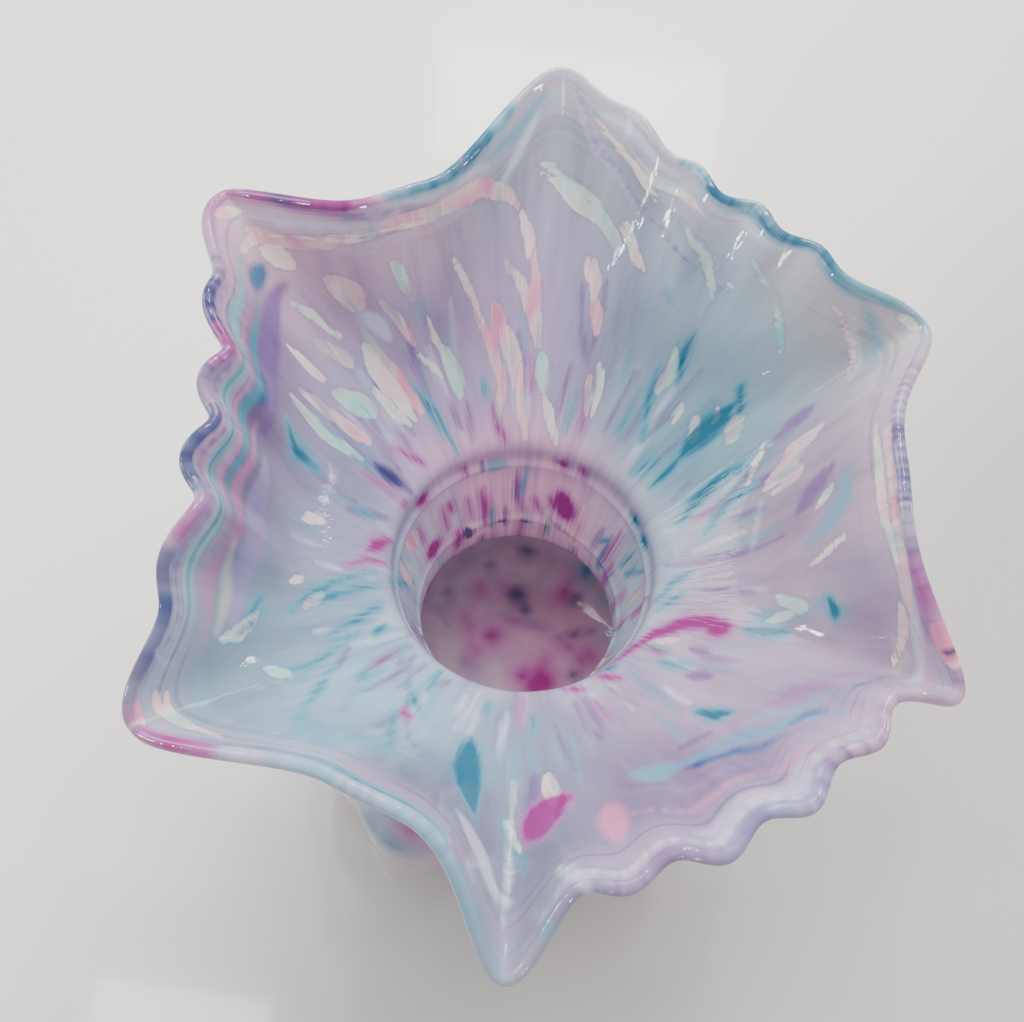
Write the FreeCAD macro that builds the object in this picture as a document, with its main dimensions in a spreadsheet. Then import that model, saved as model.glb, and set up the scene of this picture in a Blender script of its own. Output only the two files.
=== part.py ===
"""Hand blown vase: a ribbed melon body, a waisted neck and a bell crimped into six drawn-out points.

The wall is built as it is blown, in layers one inside the other: a clear inner gather, a milky opal
overlay, a thin band of coloured glass chips and a clear outer casing that rolls over the lip. The
layers stand on a pressed clear base pad. Millimetres, +Z up, the pad rests on Z = 0 and the
axis of the neck is Z. Azimuths are degrees from +X, counter-clockwise seen from above.
"""

import FreeCAD, Part
import math
import os
import Sketcher

DOC = FreeCAD.newDocument("art_glass_vase")
SHEET = DOC.addObject("Spreadsheet::Sheet", "Sizes")
ORDINALS = ("first", "second", "third", "fourth", "fifth", "sixth")

# Driving dimensions: alias, value, meaning.
SIZES = [
    ("pad_radius", 40.0, "widest radius of the base pad"),
    ("pad_thickness", 6.0, "base pad, from the table to the casing"),
    ("pad_edge_round", 2.2, "rounding of the pad's outer edge"),
    ("pontil_radius", 13.0, "ground and polished hollow under the pad"),
    ("pontil_depth", 1.5, "depth of that hollow"),
    ("wall", 3.4, "whole wall of the body, inside face to outside face"),
    ("lip_wall", 2.7, "whole wall at the lip"),
    ("gather_share", 0.30, "part of the wall that is the inner gather"),
    ("opal_share", 0.18, "part of the wall that is the opal overlay"),
    ("chip_share", 0.26, "part of the wall left for the band of chips"),
    ("floor_radius", 34.0, "flat of the floor, where the body starts to curve up"),
    ("body_radius", 61.0, "middle of the wall at the widest part of the body"),
    ("body_height", 43.0, "height of the widest part"),
    ("waist_radius", 27.6, "middle of the wall at the narrowest part of the neck"),
    ("waist_height", 80.0, "height of the narrowest part"),
    ("throat_radius", 33.7, "middle of the wall where the neck turns into the bell"),
    ("throat_height", 126.0, "height of that turn"),
    ("rib_count", 12.0, "melon ribs round the body"),
    ("rib_depth", 2.0, "how far a rib stands out of the mean radius"),
    ("rib_azimuth", -117.0, "azimuth of one rib's crest"),
    ("crease_radius", 55.5, "where the bell's floor turns up into its sides"),
    ("crease_rise", 17.0, "height of that crease above the throat"),
    ("crease_round", 9.0, "softness of the crease"),
    ("lip_flare", 1.6, "outward curl of the last of the bell"),
    ("point_round", 0.10, "bluntness of the points at the lip, as a share of a side"),
    ("point_soft", 0.45, "bluntness of the points low in the bell, as a share of a side"),
    ("crimp_lift", 0.5, "how high the crimped lip bobs, as a share of its waves' depth"),
    ("lip_return", 3.2, "how far the casing folds down inside the lip"),
    ("layer_clearance", 0.05, "gap round the chips and under the folded lip"),
    ("chip_fill", 0.90, "part of the room between the layers, less its clearances, that a chip fills"),
]

# The six points of the bell: azimuth, reach from the axis, rise above the throat.
POINTS = (
    (32.0, 98.5, 40.0),
    (93.0, 106.5, 52.0),
    (141.0, 101.0, 44.0),
    (221.5, 89.5, 40.0),
    (273.0, 94.0, 38.0),
    (338.5, 92.0, 40.0),
)

# The six sides, each from its own point to the next one: reach and rise half way along, how sharply
# the side leaves this point and comes to the next, and its crimped waves: how many, the share of a
# wave already run at the start, and half their depth.
SIDES = (
    (76.5, 57.0, 5.3, 1.8, 5.2, 0.0, 1.3),
    (68.5, 57.0, 2.0, 5.0, 0.0, 0.0, 0.0),
    (64.0, 57.0, 2.5, 3.2, 5.3, 0.0, 2.1),
    (72.5, 55.0, 1.6, 5.1, 0.0, 0.0, 0.0),
    (80.0, 52.0, 9.0, 10.0, 5.3, 0.15, 1.7),
    (70.5, 57.0, 3.9, 2.4, 0.0, 0.0, 0.0),
)

for name, (azimuth, reach, rise) in zip(ORDINALS, POINTS):
    SIZES.append((name + "_point_azimuth", azimuth, "azimuth of the " + name + " point"))
    SIZES.append((name + "_point_reach", reach, "reach of the " + name + " point"))
    SIZES.append((name + "_point_rise", rise, "rise of the " + name + " point"))
for name, (reach, rise, leave, arrive, waves, phase, crimp) in zip(ORDINALS, SIDES):
    SIZES.append((name + "_side_reach", reach, "reach half way along the " + name + " side"))
    SIZES.append((name + "_side_rise", rise, "rise half way along the " + name + " side"))
    SIZES.append((name + "_side_leave", leave, "sharpness where the " + name + " side starts"))
    SIZES.append((name + "_side_arrive", arrive, "sharpness where the " + name + " side ends"))
    SIZES.append((name + "_side_waves", waves, "crimped waves along the " + name + " side"))
    SIZES.append((name + "_side_phase", phase, "share of a wave run where the " + name + " side starts"))
    SIZES.append((name + "_side_crimp", crimp, "half the depth of the " + name + " side's waves"))

for line, (alias, value, meaning) in enumerate(SIZES, start=1):
    SHEET.set("A%d" % line, meaning)
    SHEET.set("B%d" % line, str(value))
    SHEET.setAlias("B%d" % line, alias)
DOC.recompute()


def size(alias):
    """The value of one driving dimension."""
    return float(SHEET.get(alias))


def side_values(word):
    """One driving dimension of all six points or sides, in order round the bell."""
    return [size(name + word) for name in ORDINALS]


# Values read once, because every point of the wall needs them.
POINT_AZIMUTH = side_values("_point_azimuth")
POINT_REACH = side_values("_point_reach")
POINT_RISE = side_values("_point_rise")
SIDE_REACH = side_values("_side_reach")
SIDE_RISE = side_values("_side_rise")
SIDE_LEAVE = side_values("_side_leave")
SIDE_ARRIVE = side_values("_side_arrive")
SIDE_WAVES = side_values("_side_waves")
SIDE_PHASE = side_values("_side_phase")
SIDE_CRIMP = side_values("_side_crimp")
THROAT_RADIUS = size("throat_radius")
THROAT_HEIGHT = size("throat_height")
CREASE_ROUND = size("crease_round")
CREASE = (size("crease_radius"), size("crease_rise"))
POINT_ROUND = size("point_round")
POINT_SOFT = size("point_soft")
CRIMP_LIFT = size("crimp_lift")
LIP_FLARE = size("lip_flare")
WALL = size("wall")
LIP_WALL = size("lip_wall")

# Fineness of the wall's grid of poles.
COLUMNS = 216
BODY_ROWS = 34
BELL_ROWS = 26


def soft_positive(value, softness):
    """A smooth stand-in for max(value, 0), rounded over about the softness."""
    return (value + math.sqrt(value * value + softness * softness)) / 2


def side_place(azimuth):
    """Which side an azimuth is on, and how far along it from 0 to 1."""
    for index in range(6):
        start = POINT_AZIMUTH[index]
        width = (POINT_AZIMUTH[(index + 1) % 6] - start) % 360
        turned = (azimuth - start) % 360
        if turned < width:
            return index, turned / width
    return 0, 0.0


def lip_shape(azimuth, bluntness):
    """Reach, rise and crimp (radial and vertical) of the lip at an azimuth, with blunted points."""
    index, along = side_place(azimuth)
    first_half = along < 0.5
    point = index if first_half else (index + 1) % 6
    sharpness = SIDE_LEAVE[index] if first_half else SIDE_ARRIVE[index]
    inward = 1 - abs(2 * along - 1)
    blunt = math.sqrt(inward * inward + bluntness ** 2) - bluntness
    blunt /= math.sqrt(1 + bluntness ** 2) - bluntness
    pointed = (1 - blunt) ** sharpness
    reach = SIDE_REACH[index] + (POINT_REACH[point] - SIDE_REACH[index]) * pointed
    rise = SIDE_RISE[index] + (POINT_RISE[point] - SIDE_RISE[index]) * pointed
    crimp = SIDE_CRIMP[index] * (1 - (2 * along - 1) ** 8)
    phase = 2 * math.pi * (SIDE_WAVES[index] * along + SIDE_PHASE[index])
    return reach, rise, crimp * math.sin(phase), crimp * CRIMP_LIFT * math.cos(phase)


def bell_point(along, azimuth):
    """A point of the bell's mid-wall: along runs from 0 at the throat to 1 at the lip.

    The wall follows two straight lines, throat to crease and crease to lip, joined softly, so a
    low far point stays a spout while a high near side stands up as a wall. The points sharpen and
    the crimps deepen with the square of the way along.
    """
    sharp_reach, sharp_rise, crimp, lift = lip_shape(azimuth, POINT_ROUND)
    soft_reach, soft_rise = lip_shape(azimuth, POINT_SOFT)[:2]
    fade = along ** 2
    reach = soft_reach + (sharp_reach - soft_reach) * fade
    rise = soft_rise + (sharp_rise - soft_rise) * fade
    floor_run, floor_rise = CREASE[0] - THROAT_RADIUS, CREASE[1]
    side_run, side_rise = reach - CREASE[0], rise - CREASE[1]
    floor_length = math.hypot(floor_run, floor_rise)
    side_length = math.hypot(side_run, side_rise)
    whole = floor_length + side_length
    side_part = soft_positive(along * whole - floor_length, CREASE_ROUND)
    side_first = soft_positive(-floor_length, CREASE_ROUND)
    side_last = soft_positive(side_length, CREASE_ROUND)
    floor_part = along * whole - side_part
    floor_share = (floor_part + side_first) / (whole - side_last + side_first)
    side_share = (side_part - side_first) / (side_last - side_first)
    radius = THROAT_RADIUS + floor_run * floor_share + side_run * side_share
    radius += crimp * fade + LIP_FLARE * along ** 8
    height = THROAT_HEIGHT + floor_rise * floor_share + side_rise * side_share + lift * fade
    turn = math.radians(azimuth)
    return FreeCAD.Vector(radius * math.cos(turn), radius * math.sin(turn), height)


def lower_profile():
    """Mid-wall outline of floor edge, body, waist and throat, as one smooth curve in the XZ plane."""
    floor = size("pad_thickness") + WALL / 2
    body, mid = size("body_radius"), size("body_height")
    waist, low = size("waist_radius"), size("waist_height")
    neck = THROAT_HEIGHT - low
    flat, spread = size("floor_radius"), body - size("floor_radius")
    neck_in = body - waist
    outline = [
        (flat, floor),
        (flat + 0.45 * spread, floor),
        (flat + 0.90 * spread, floor + 0.26 * (mid - floor)),
        (body * 1.035, mid - 0.12 * (mid - floor)),
        (body * 1.01, mid + 0.40 * (low - mid)),
        (waist + 0.62 * neck_in, mid + 0.80 * (low - mid)),
        (waist + 0.13 * neck_in, low - 0.08 * (low - mid)),
        (waist, low + 0.10 * neck),
        (waist, low + 0.30 * neck),
        (0.5 * (waist + THROAT_RADIUS), low + 0.58 * neck),
        (THROAT_RADIUS, THROAT_HEIGHT - 0.12 * neck),
        (THROAT_RADIUS, THROAT_HEIGHT),
    ]
    curve = Part.BSplineCurve()
    curve.buildFromPoles([FreeCAD.Vector(radius, 0, height) for radius, height in outline], False, 3)
    return curve.discretize(Number=BODY_ROWS)


def ribbed(radius, height, azimuth):
    """A radius of the body with its melon ribs, which fade out at the floor and at the waist."""
    floor, low = size("pad_thickness"), size("waist_height")
    share = min(max((height - floor) / (low - floor), 0.0), 1.0)
    fade = math.sin(math.pi * share) ** 2
    ribs = math.cos(math.radians(size("rib_count") * (azimuth - size("rib_azimuth"))))
    return radius + size("rib_depth") * fade * ribs


def wall_grid():
    """Rows of mid-wall points from the floor's edge up to the lip, and each row's place.

    A place runs from -1 at the floor's edge through 0 at the throat to 1 at the lip.
    """
    azimuths = [360.0 * column / COLUMNS for column in range(COLUMNS)]
    rows = []
    places = []
    for number, sample in enumerate(lower_profile()):
        row = []
        for azimuth in azimuths:
            radius = ribbed(sample.x, sample.z, azimuth)
            turn = math.radians(azimuth)
            row.append(FreeCAD.Vector(radius * math.cos(turn), radius * math.sin(turn), sample.z))
        rows.append(row)
        places.append(number / (BODY_ROWS - 1) - 1)
    for number in range(1, BELL_ROWS + 1):
        along = (number / BELL_ROWS) ** 1.15
        rows.append([bell_point(along, azimuth) for azimuth in azimuths])
        places.append(along)
    return rows, places


def wall_normals(rows):
    """Outward unit normals of the grid: the cross of the way round and the way up."""
    normals = []
    last = len(rows) - 1
    for number, row in enumerate(rows):
        below, above = rows[max(number - 1, 0)], rows[min(number + 1, last)]
        line = []
        for column in range(COLUMNS):
            around = row[(column + 1) % COLUMNS] - row[column - 1]
            up = above[column] - below[column]
            normal = around.cross(up)
            line.append(normal.normalize())
        normals.append(line)
    normals[0] = [FreeCAD.Vector(0, 0, -1)] * COLUMNS
    return normals


ROWS, PLACES = wall_grid()
NORMALS = wall_normals(ROWS)


def wall_at(place):
    """Wall thickness at a place: whole up to the throat, thinning to the lip."""
    return WALL + (LIP_WALL - WALL) * max(place, 0.0) ** 2


def row_at(place):
    """Row number, with a fraction, of a place on the wall."""
    for number in range(len(PLACES) - 1):
        if place <= PLACES[number + 1]:
            step = PLACES[number + 1] - PLACES[number]
            return number + (place - PLACES[number]) / step
    return len(PLACES) - 1.0


def wall_point(place, azimuth, depth):
    """A point in the wall: depth 0 is the inside face and 1 the outside face."""
    row = row_at(place)
    low = min(int(row), len(ROWS) - 2)
    column = (azimuth % 360) / 360 * COLUMNS
    left = int(column) % COLUMNS
    right = (left + 1) % COLUMNS
    up, across = row - low, column - int(column)
    point, normal = FreeCAD.Vector(), FreeCAD.Vector()
    for number, upward in ((low, 1 - up), (low + 1, up)):
        for place_round, sideways in ((left, 1 - across), (right, across)):
            point += ROWS[number][place_round] * (upward * sideways)
            normal += NORMALS[number][place_round] * (upward * sideways)
    return point + normal.normalize() * (wall_at(place) * (depth - 0.5))


def face_rows(depth, top, bottom=-1.0):
    """Rows of poles of one face of a layer, from the bottom place up to the top place."""
    rows = []
    for number, place in enumerate(PLACES):
        if bottom <= place <= top:
            shift = wall_at(place) * (depth - 0.5)
            pairs = zip(ROWS[number], NORMALS[number])
            rows.append([point + normal * shift for point, normal in pairs])
    return rows


def ring(place, depth):
    """One row of poles at any place and depth of the wall."""
    return [wall_point(place, 360.0 * column / COLUMNS, depth) for column in range(COLUMNS)]


def skin_of(rows):
    """A smooth surface from rows of poles, clamped at the first and last row and closed on itself."""
    count, columns = len(rows), len(rows[0])
    skin = Part.BSplineSurface()
    row_multiplicities = [4] + [1] * (count - 4) + [4]
    row_knots = [float(knot) for knot in range(count - 2)]
    column_multiplicities = [1] * (columns + 1)
    column_knots = [float(knot) for knot in range(columns + 1)]
    skin.buildFromPolesMultsKnots(
        rows, row_multiplicities, column_multiplicities, row_knots, column_knots, False, True, 3, 3
    )
    return skin


def closed_solid(rows):
    """A solid inside the skin of rows of poles, whose first and last rows are flat and get lids."""
    face = skin_of(rows).toShape()
    rims = [edge for edge in face.Edges if edge.isClosed()]
    lids = [Part.Face(Part.Wire([edge])) for edge in rims]
    shell = Part.Shell([face] + lids)
    shell.sewShape()
    solid = Part.Solid(shell)
    if solid.Volume < 0:
        solid.reverse()
    return solid


def lip_rows(inner_depth, outer_depth, place):
    """Rows that round a layer's top edge over, from its inner face to its outer face."""
    middle = (inner_depth + outer_depth) / 2
    half = (outer_depth - inner_depth) / 2
    rows = []
    for step in (-0.8, -0.35, 0.35, 0.8):
        rise = math.sqrt(1 - step * step) * half * wall_at(place)
        line = []
        for column in range(COLUMNS):
            azimuth = 360.0 * column / COLUMNS
            top = wall_point(place, azimuth, middle + half * step)
            below = wall_point(place - 0.03, azimuth, middle + half * step)
            upward = (top - below).normalize()
            line.append(top + upward * rise)
        rows.append(line)
    return rows


def cup_rows(inner_depth, outer_depth, top):
    """Poles of a layer that ends in a rounded edge at the top place, inside face first."""
    inside = face_rows(inner_depth, top)
    outside = face_rows(outer_depth, top)
    return inside + lip_rows(inner_depth, outer_depth, top) + outside[::-1]


def add_feature(name, shape):
    """A document object of its own for a sub-part whose shape is worked out above."""
    feature = DOC.addObject("Part::Feature", name)
    feature.Label = name
    feature.Shape = shape
    feature.Placement = FreeCAD.Placement()
    return feature


# Where the layers meet, as depths through the wall.
GATHER_DEPTH = size("gather_share")
OPAL_DEPTH = GATHER_DEPTH + size("opal_share")
CASING_DEPTH = OPAL_DEPTH + size("chip_share")

# The bell is about as long as its crease line and its side line together.
BELL_LENGTH = math.hypot(CREASE[0] - THROAT_RADIUS, CREASE[1])
BELL_LENGTH += math.hypot(SIDE_REACH[1] - CREASE[0], SIDE_RISE[1] - CREASE[1])
FOLD_PLACE = 1 - size("lip_return") / BELL_LENGTH
UNDER_FOLD = FOLD_PLACE - (LIP_WALL * GATHER_DEPTH / 2 + size("layer_clearance")) / BELL_LENGTH


def casing_shape():
    """The outer casing: up inside the chips, inward under the fold, over the lip and down outside."""
    fold = [ring(FOLD_PLACE, CASING_DEPTH * share) for share in (0.97, 0.72, 0.42, 0.16, 0.0)]
    inside_lip = [ring(FOLD_PLACE + (1 - FOLD_PLACE) * share, 0.0) for share in (0.3, 0.65, 1.0)]
    rows = face_rows(CASING_DEPTH, FOLD_PLACE - 0.02) + fold + inside_lip
    rows += lip_rows(0.0, 1.0, 1.0) + face_rows(1.0, 1.0)[::-1]
    return closed_solid(rows)


# The middle of the band of chips, and how far its parameter round the axis lags behind the azimuth.
BAND = skin_of(face_rows((OPAL_DEPTH + CASING_DEPTH) / 2, 1.0))
BAND_START = BAND.value(BODY_ROWS - 2.0, 0.0)
BAND_LAG = math.degrees(math.atan2(BAND_START.y, BAND_START.x))
CHIP_COLUMNS = 12
CHIP_SWELL = (0.10, 0.36, 0.62, 0.84, 0.98, 1.0, 0.92, 0.76, 0.56, 0.34, 0.10)


def band_point(place, azimuth):
    """A point in the middle of the band of chips and the wall's outward direction there."""
    along = row_at(place) - 1
    around = ((azimuth - BAND_LAG) % 360) / 360 * COLUMNS
    point = BAND.value(along, around)
    outward = BAND.normal(along, around)
    beyond = NORMALS[min(round(row_at(place)), len(ROWS) - 1)][round(azimuth % 360 / 360 * COLUMNS) % COLUMNS]
    return point, outward if outward.dot(beyond) > 0 else -outward


def frit_chip(azimuth, start, end, width, drift):
    """One chip of coloured glass drawn out along the wall into a thin spindle.

    Its sections are flat ovals that follow the curve of the wall, from the start place to the end
    place, while its azimuth drifts by some degrees. It lies in the middle of the band of chips.
    """
    fill, half_band, clearance = size("chip_fill"), size("chip_share") / 2, size("layer_clearance")
    last = len(CHIP_SWELL) - 1
    rows = []
    for number, swell in enumerate(CHIP_SWELL):
        share = number / last
        place, turned = start + (end - start) * share, azimuth + drift * share
        half_thick = fill * (half_band * wall_at(place) - clearance)
        centre, outward = band_point(place, turned)
        half_wide = width * swell / 2
        half_turn = math.degrees(half_wide / math.hypot(centre.x, centre.y))
        level = FreeCAD.Vector(0, 0, 1).cross(FreeCAD.Vector(centre.x, centre.y, 0)).normalize()
        row = []
        for step in range(CHIP_COLUMNS):
            turn = 2 * math.pi * step / CHIP_COLUMNS
            if number in (0, last):
                point = centre + level * (half_wide * math.cos(turn))
                row.append(point + outward * (half_thick * math.sin(turn) * 0.6))
            else:
                point, beyond = band_point(place, turned + half_turn * math.cos(turn))
                row.append(point + beyond * (half_thick * math.sin(turn)))
        rows.append(row)
    return closed_solid(rows)


def chip_group(chips):
    """The chips of one colour in one part of the wall, as separate solids."""
    return Part.makeCompound([frit_chip(*chip) for chip in chips])


def scattered_chips(count, first_azimuth, low, high, length, width):
    """Chips spread evenly over a stretch of the wall: up it by even steps, round it by the golden angle."""
    chips = []
    for number in range(count):
        azimuth = first_azimuth + 137.508 * number
        share = (number + 0.5) / count
        unlike = (number * 0.7548777) % 1.0
        start = low + (high - low - length) * share
        end = start + length * (0.7 + 0.3 * unlike)
        chips.append((azimuth, start, end, width * (1.2 - 0.45 * unlike), 3.0))
    return chips


def make_base_pad():
    """The pressed pad under the vase: a turned disc with a rounded edge and a ground hollow."""
    body = DOC.addObject("PartDesign::Body", "base_pad")
    body.Label = "base_pad"
    plane = [item for item in body.Origin.OriginFeatures if item.Role == "XZ_Plane"][0]
    sketch = body.newObject("Sketcher::SketchObject", "pad_outline")
    sketch.AttachmentSupport = (plane, [""])
    sketch.MapMode = "FlatFace"
    radius, thickness = size("pad_radius"), size("pad_thickness")
    corners = [(0, 0), (radius, 0), (radius, thickness), (0, thickness)]
    for start, end in zip(corners, corners[1:] + corners[:1]):
        line = Part.LineSegment(FreeCAD.Vector(*start, 0), FreeCAD.Vector(*end, 0))
        sketch.addGeometry(line, False)
    for line in range(4):
        sketch.addConstraint(Sketcher.Constraint("Coincident", line, 2, (line + 1) % 4, 1))
    sketch.addConstraint(Sketcher.Constraint("Coincident", 0, 1, -1, 1))
    for line, direction in enumerate(("Horizontal", "Vertical", "Horizontal", "Vertical")):
        sketch.addConstraint(Sketcher.Constraint(direction, line))
    wide = sketch.addConstraint(Sketcher.Constraint("DistanceX", 0, 1, 0, 2, radius))
    sketch.setExpression("Constraints[%d]" % wide, "Sizes.pad_radius")
    tall = sketch.addConstraint(Sketcher.Constraint("DistanceY", 1, 1, 1, 2, thickness))
    sketch.setExpression("Constraints[%d]" % tall, "Sizes.pad_thickness")
    turned = body.newObject("PartDesign::Revolution", "pad_turned")
    turned.Profile = sketch
    turned.ReferenceAxis = (sketch, ["V_Axis"])
    turned.Angle = 360.0
    DOC.recompute()
    rims = []
    for number, edge in enumerate(turned.Shape.Edges, start=1):
        if edge.BoundBox.ZLength < 1e-6 and edge.BoundBox.XLength > 1.9 * radius:
            rims.append("Edge%d" % number)
    rounded = body.newObject("PartDesign::Fillet", "pad_edge")
    rounded.Base = (turned, rims)
    rounded.setExpression("Radius", "Sizes.pad_edge_round")
    hollow_plane = [item for item in body.Origin.OriginFeatures if item.Role == "XY_Plane"][0]
    circle = body.newObject("Sketcher::SketchObject", "pontil_outline")
    circle.AttachmentSupport = (hollow_plane, [""])
    circle.MapMode = "FlatFace"
    outline = Part.Circle(FreeCAD.Vector(), FreeCAD.Vector(0, 0, 1), size("pontil_radius"))
    circle.addGeometry(outline, False)
    circle.addConstraint(Sketcher.Constraint("Coincident", 0, 3, -1, 1))
    bore = circle.addConstraint(Sketcher.Constraint("Radius", 0, size("pontil_radius")))
    circle.setExpression("Constraints[%d]" % bore, "Sizes.pontil_radius")
    hollow = body.newObject("PartDesign::Pocket", "pontil_hollow")
    hollow.Profile = circle
    hollow.Reversed = True
    hollow.setExpression("Length", "Sizes.pontil_depth")
    body.Tip = hollow
    DOC.recompute()
    if not hollow.Shape.Volume < rounded.Shape.Volume:
        raise RuntimeError("the pontil hollow cut nothing")
    return body


# The larger chips of the bell: azimuth, start and end place, width, drift in azimuth.
TEAL_BELL = [
    (43.0, 0.22, 0.46, 9.0, 2.0),
    (52.0, 0.40, 0.60, 5.0, 1.0),
    (112.0, 0.10, 0.50, 5.0, 3.0),
    (176.0, 0.20, 0.52, 6.5, 4.0),
    (214.0, 0.16, 0.44, 5.0, 2.0),
    (228.0, 0.10, 0.38, 5.0, -3.0),
    (252.0, 0.18, 0.50, 6.5, 1.0),
    (322.0, 0.20, 0.42, 5.0, 3.0),
    (352.0, 0.42, 0.68, 7.5, 2.0),
]
MAGENTA_BELL = [
    (340.0, 0.04, 0.34, 8.0, 6.0),
    (283.0, 0.16, 0.46, 9.0, -2.0),
    (158.0, 0.06, 0.34, 4.5, 3.0),
    (132.0, 0.08, 0.30, 4.0, 2.0),
    (100.0, 0.04, 0.28, 4.0, 0.0),
    (18.0, 0.24, 0.44, 4.0, 2.0),
]
COBALT_BELL = [
    (330.0, 0.52, 0.74, 5.0, 5.0),
    (146.0, 0.10, 0.24, 4.0, 2.0),
    (168.0, 0.56, 0.76, 5.0, 0.0),
    (196.0, 0.50, 0.72, 4.5, 0.0),
    (66.0, 0.30, 0.46, 3.5, 1.0),
]


# The smaller chips of the neck and the body, dealt out to the colours in turn.
NECK_CHIPS = scattered_chips(16, 20.0, -0.42, -0.03, 0.15, 3.2)
BODY_CHIPS = scattered_chips(39, 5.0, -0.92, -0.48, 0.12, 8.0)


def build():
    """Make every sub-part and return the document objects, one for each node."""
    gather = closed_solid(cup_rows(0.0, GATHER_DEPTH, UNDER_FOLD))
    overlay = closed_solid(cup_rows(GATHER_DEPTH, OPAL_DEPTH, UNDER_FOLD))
    return [
        make_base_pad(),
        add_feature("inner_gather", gather),
        add_feature("opal_overlay", overlay),
        add_feature("outer_casing", casing_shape()),
        add_feature("teal_frit_bell", chip_group(TEAL_BELL)),
        add_feature("magenta_frit_bell", chip_group(MAGENTA_BELL)),
        add_feature("cobalt_frit_bell", chip_group(COBALT_BELL)),
        add_feature("teal_frit_neck", chip_group(NECK_CHIPS[0::2])),
        add_feature("magenta_frit_neck", chip_group(NECK_CHIPS[1::2])),
        add_feature("teal_frit_body", chip_group(BODY_CHIPS[0::3])),
        add_feature("magenta_frit_body", chip_group(BODY_CHIPS[1::3])),
        add_feature("cobalt_frit_body", chip_group(BODY_CHIPS[2::3])),
    ]


def write(parts):
    """Check every object of the document, then write each sub-part to its own file."""
    DOC.recompute()
    for item in DOC.Objects:
        if "Invalid" in item.State or "Error" in item.State:
            raise RuntimeError(item.Name + " failed to compute")
    os.makedirs("parts", exist_ok=True)
    for part in parts:
        shape = part.Shape
        if shape.isNull() or not shape.isValid() or not shape.Solids:
            raise RuntimeError(part.Label + " is not a valid solid")
    for part in parts:
        part.Shape.exportStep("parts/%s.step" % part.Label)
        print("%-20s %3d solids %9.1f mm3" % (part.Label, len(part.Shape.Solids), part.Shape.Volume))


write(build())
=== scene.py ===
"""Cased art glass vase: ribbed body, waisted neck, and a bell drawn into six points and crimped.

The frame gives the vase's sizes. Each piece is a surface of two parameters, worked out as whole
numpy arrays in millimetres and put into its mesh in metres. The look comes from the materials: clear
glossy glass over a milky, torn opal layer with drawn-out chips of teal, magenta and cobalt, and some
highlights, glints, lustre sheen and edge shade painted into its colour.
"""

import logging
import math
from dataclasses import dataclass, field
from enum import Enum

import bpy
import numpy as np
from mathutils import Matrix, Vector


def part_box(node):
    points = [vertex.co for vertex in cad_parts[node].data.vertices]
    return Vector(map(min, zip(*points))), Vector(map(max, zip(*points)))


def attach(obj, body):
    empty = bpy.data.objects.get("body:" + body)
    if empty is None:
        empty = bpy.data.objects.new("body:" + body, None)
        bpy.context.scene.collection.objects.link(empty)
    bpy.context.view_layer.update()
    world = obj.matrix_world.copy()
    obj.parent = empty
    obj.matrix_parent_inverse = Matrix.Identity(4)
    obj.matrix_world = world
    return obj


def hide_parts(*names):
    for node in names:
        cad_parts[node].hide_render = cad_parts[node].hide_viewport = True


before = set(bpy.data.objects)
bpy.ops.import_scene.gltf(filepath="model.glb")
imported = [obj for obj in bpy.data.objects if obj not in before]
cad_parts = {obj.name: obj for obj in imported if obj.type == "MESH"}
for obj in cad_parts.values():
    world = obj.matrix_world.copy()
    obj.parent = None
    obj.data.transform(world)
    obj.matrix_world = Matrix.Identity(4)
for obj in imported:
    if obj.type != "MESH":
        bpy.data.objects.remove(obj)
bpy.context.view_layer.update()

MM = 0.001
LOG = logging.getLogger("vase")
Array = np.ndarray


# ---------------------------------------------------------------- form


@dataclass(frozen=True)
class Point:
    """One drawn-out point of the bell: azimuth in degrees, reach and rise in millimetres."""

    azimuth: float
    reach: float
    rise: float


@dataclass(frozen=True)
class Side:
    """One side of the bell, from its own point to the next one round."""

    reach: float
    rise: float
    leave: float
    arrive: float
    waves: float = 0.0
    phase: float = 0.0
    depth: float = 0.0


def soft_positive(value: Array, softness: float) -> Array:
    """Return a smooth stand-in for the larger of value and zero."""
    return (value + np.sqrt(value * value + softness * softness)) / 2


def clamped_cubic(poles: Array, share: Array) -> Array:
    """Points of a clamped, evenly knotted cubic spline.

    Formula: the Cox-de Boor recursion, each basis function a blend of two of the degree below.

    Args:
        poles: control points, one row each.
        share: where on the curve, 0 to 1.

    Returns:
        One point for each share.
    """
    count, degree = len(poles), 3
    inner = np.arange(1, count - degree)
    knots = np.concatenate([np.zeros(4), inner, np.full(4, count - degree)]).astype(float)
    place = np.clip(share, 0.0, 1.0 - 1e-9) * (count - degree)
    basis = [(knots[i] <= place) & (place < knots[i + 1]) for i in range(len(knots) - 1)]
    basis = [b.astype(float) for b in basis]
    for order in range(1, degree + 1):
        raised = []
        for i in range(len(basis) - 1):
            left, right = knots[i + order] - knots[i], knots[i + order + 1] - knots[i + 1]
            rising = (place - knots[i]) / left * basis[i] if left > 0 else 0.0
            falling = (knots[i + order + 1] - place) / right * basis[i + 1] if right > 0 else 0.0
            raised.append(rising + falling)
        basis = raised
    return sum(np.outer(b, pole) for b, pole in zip(basis, poles))


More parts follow.
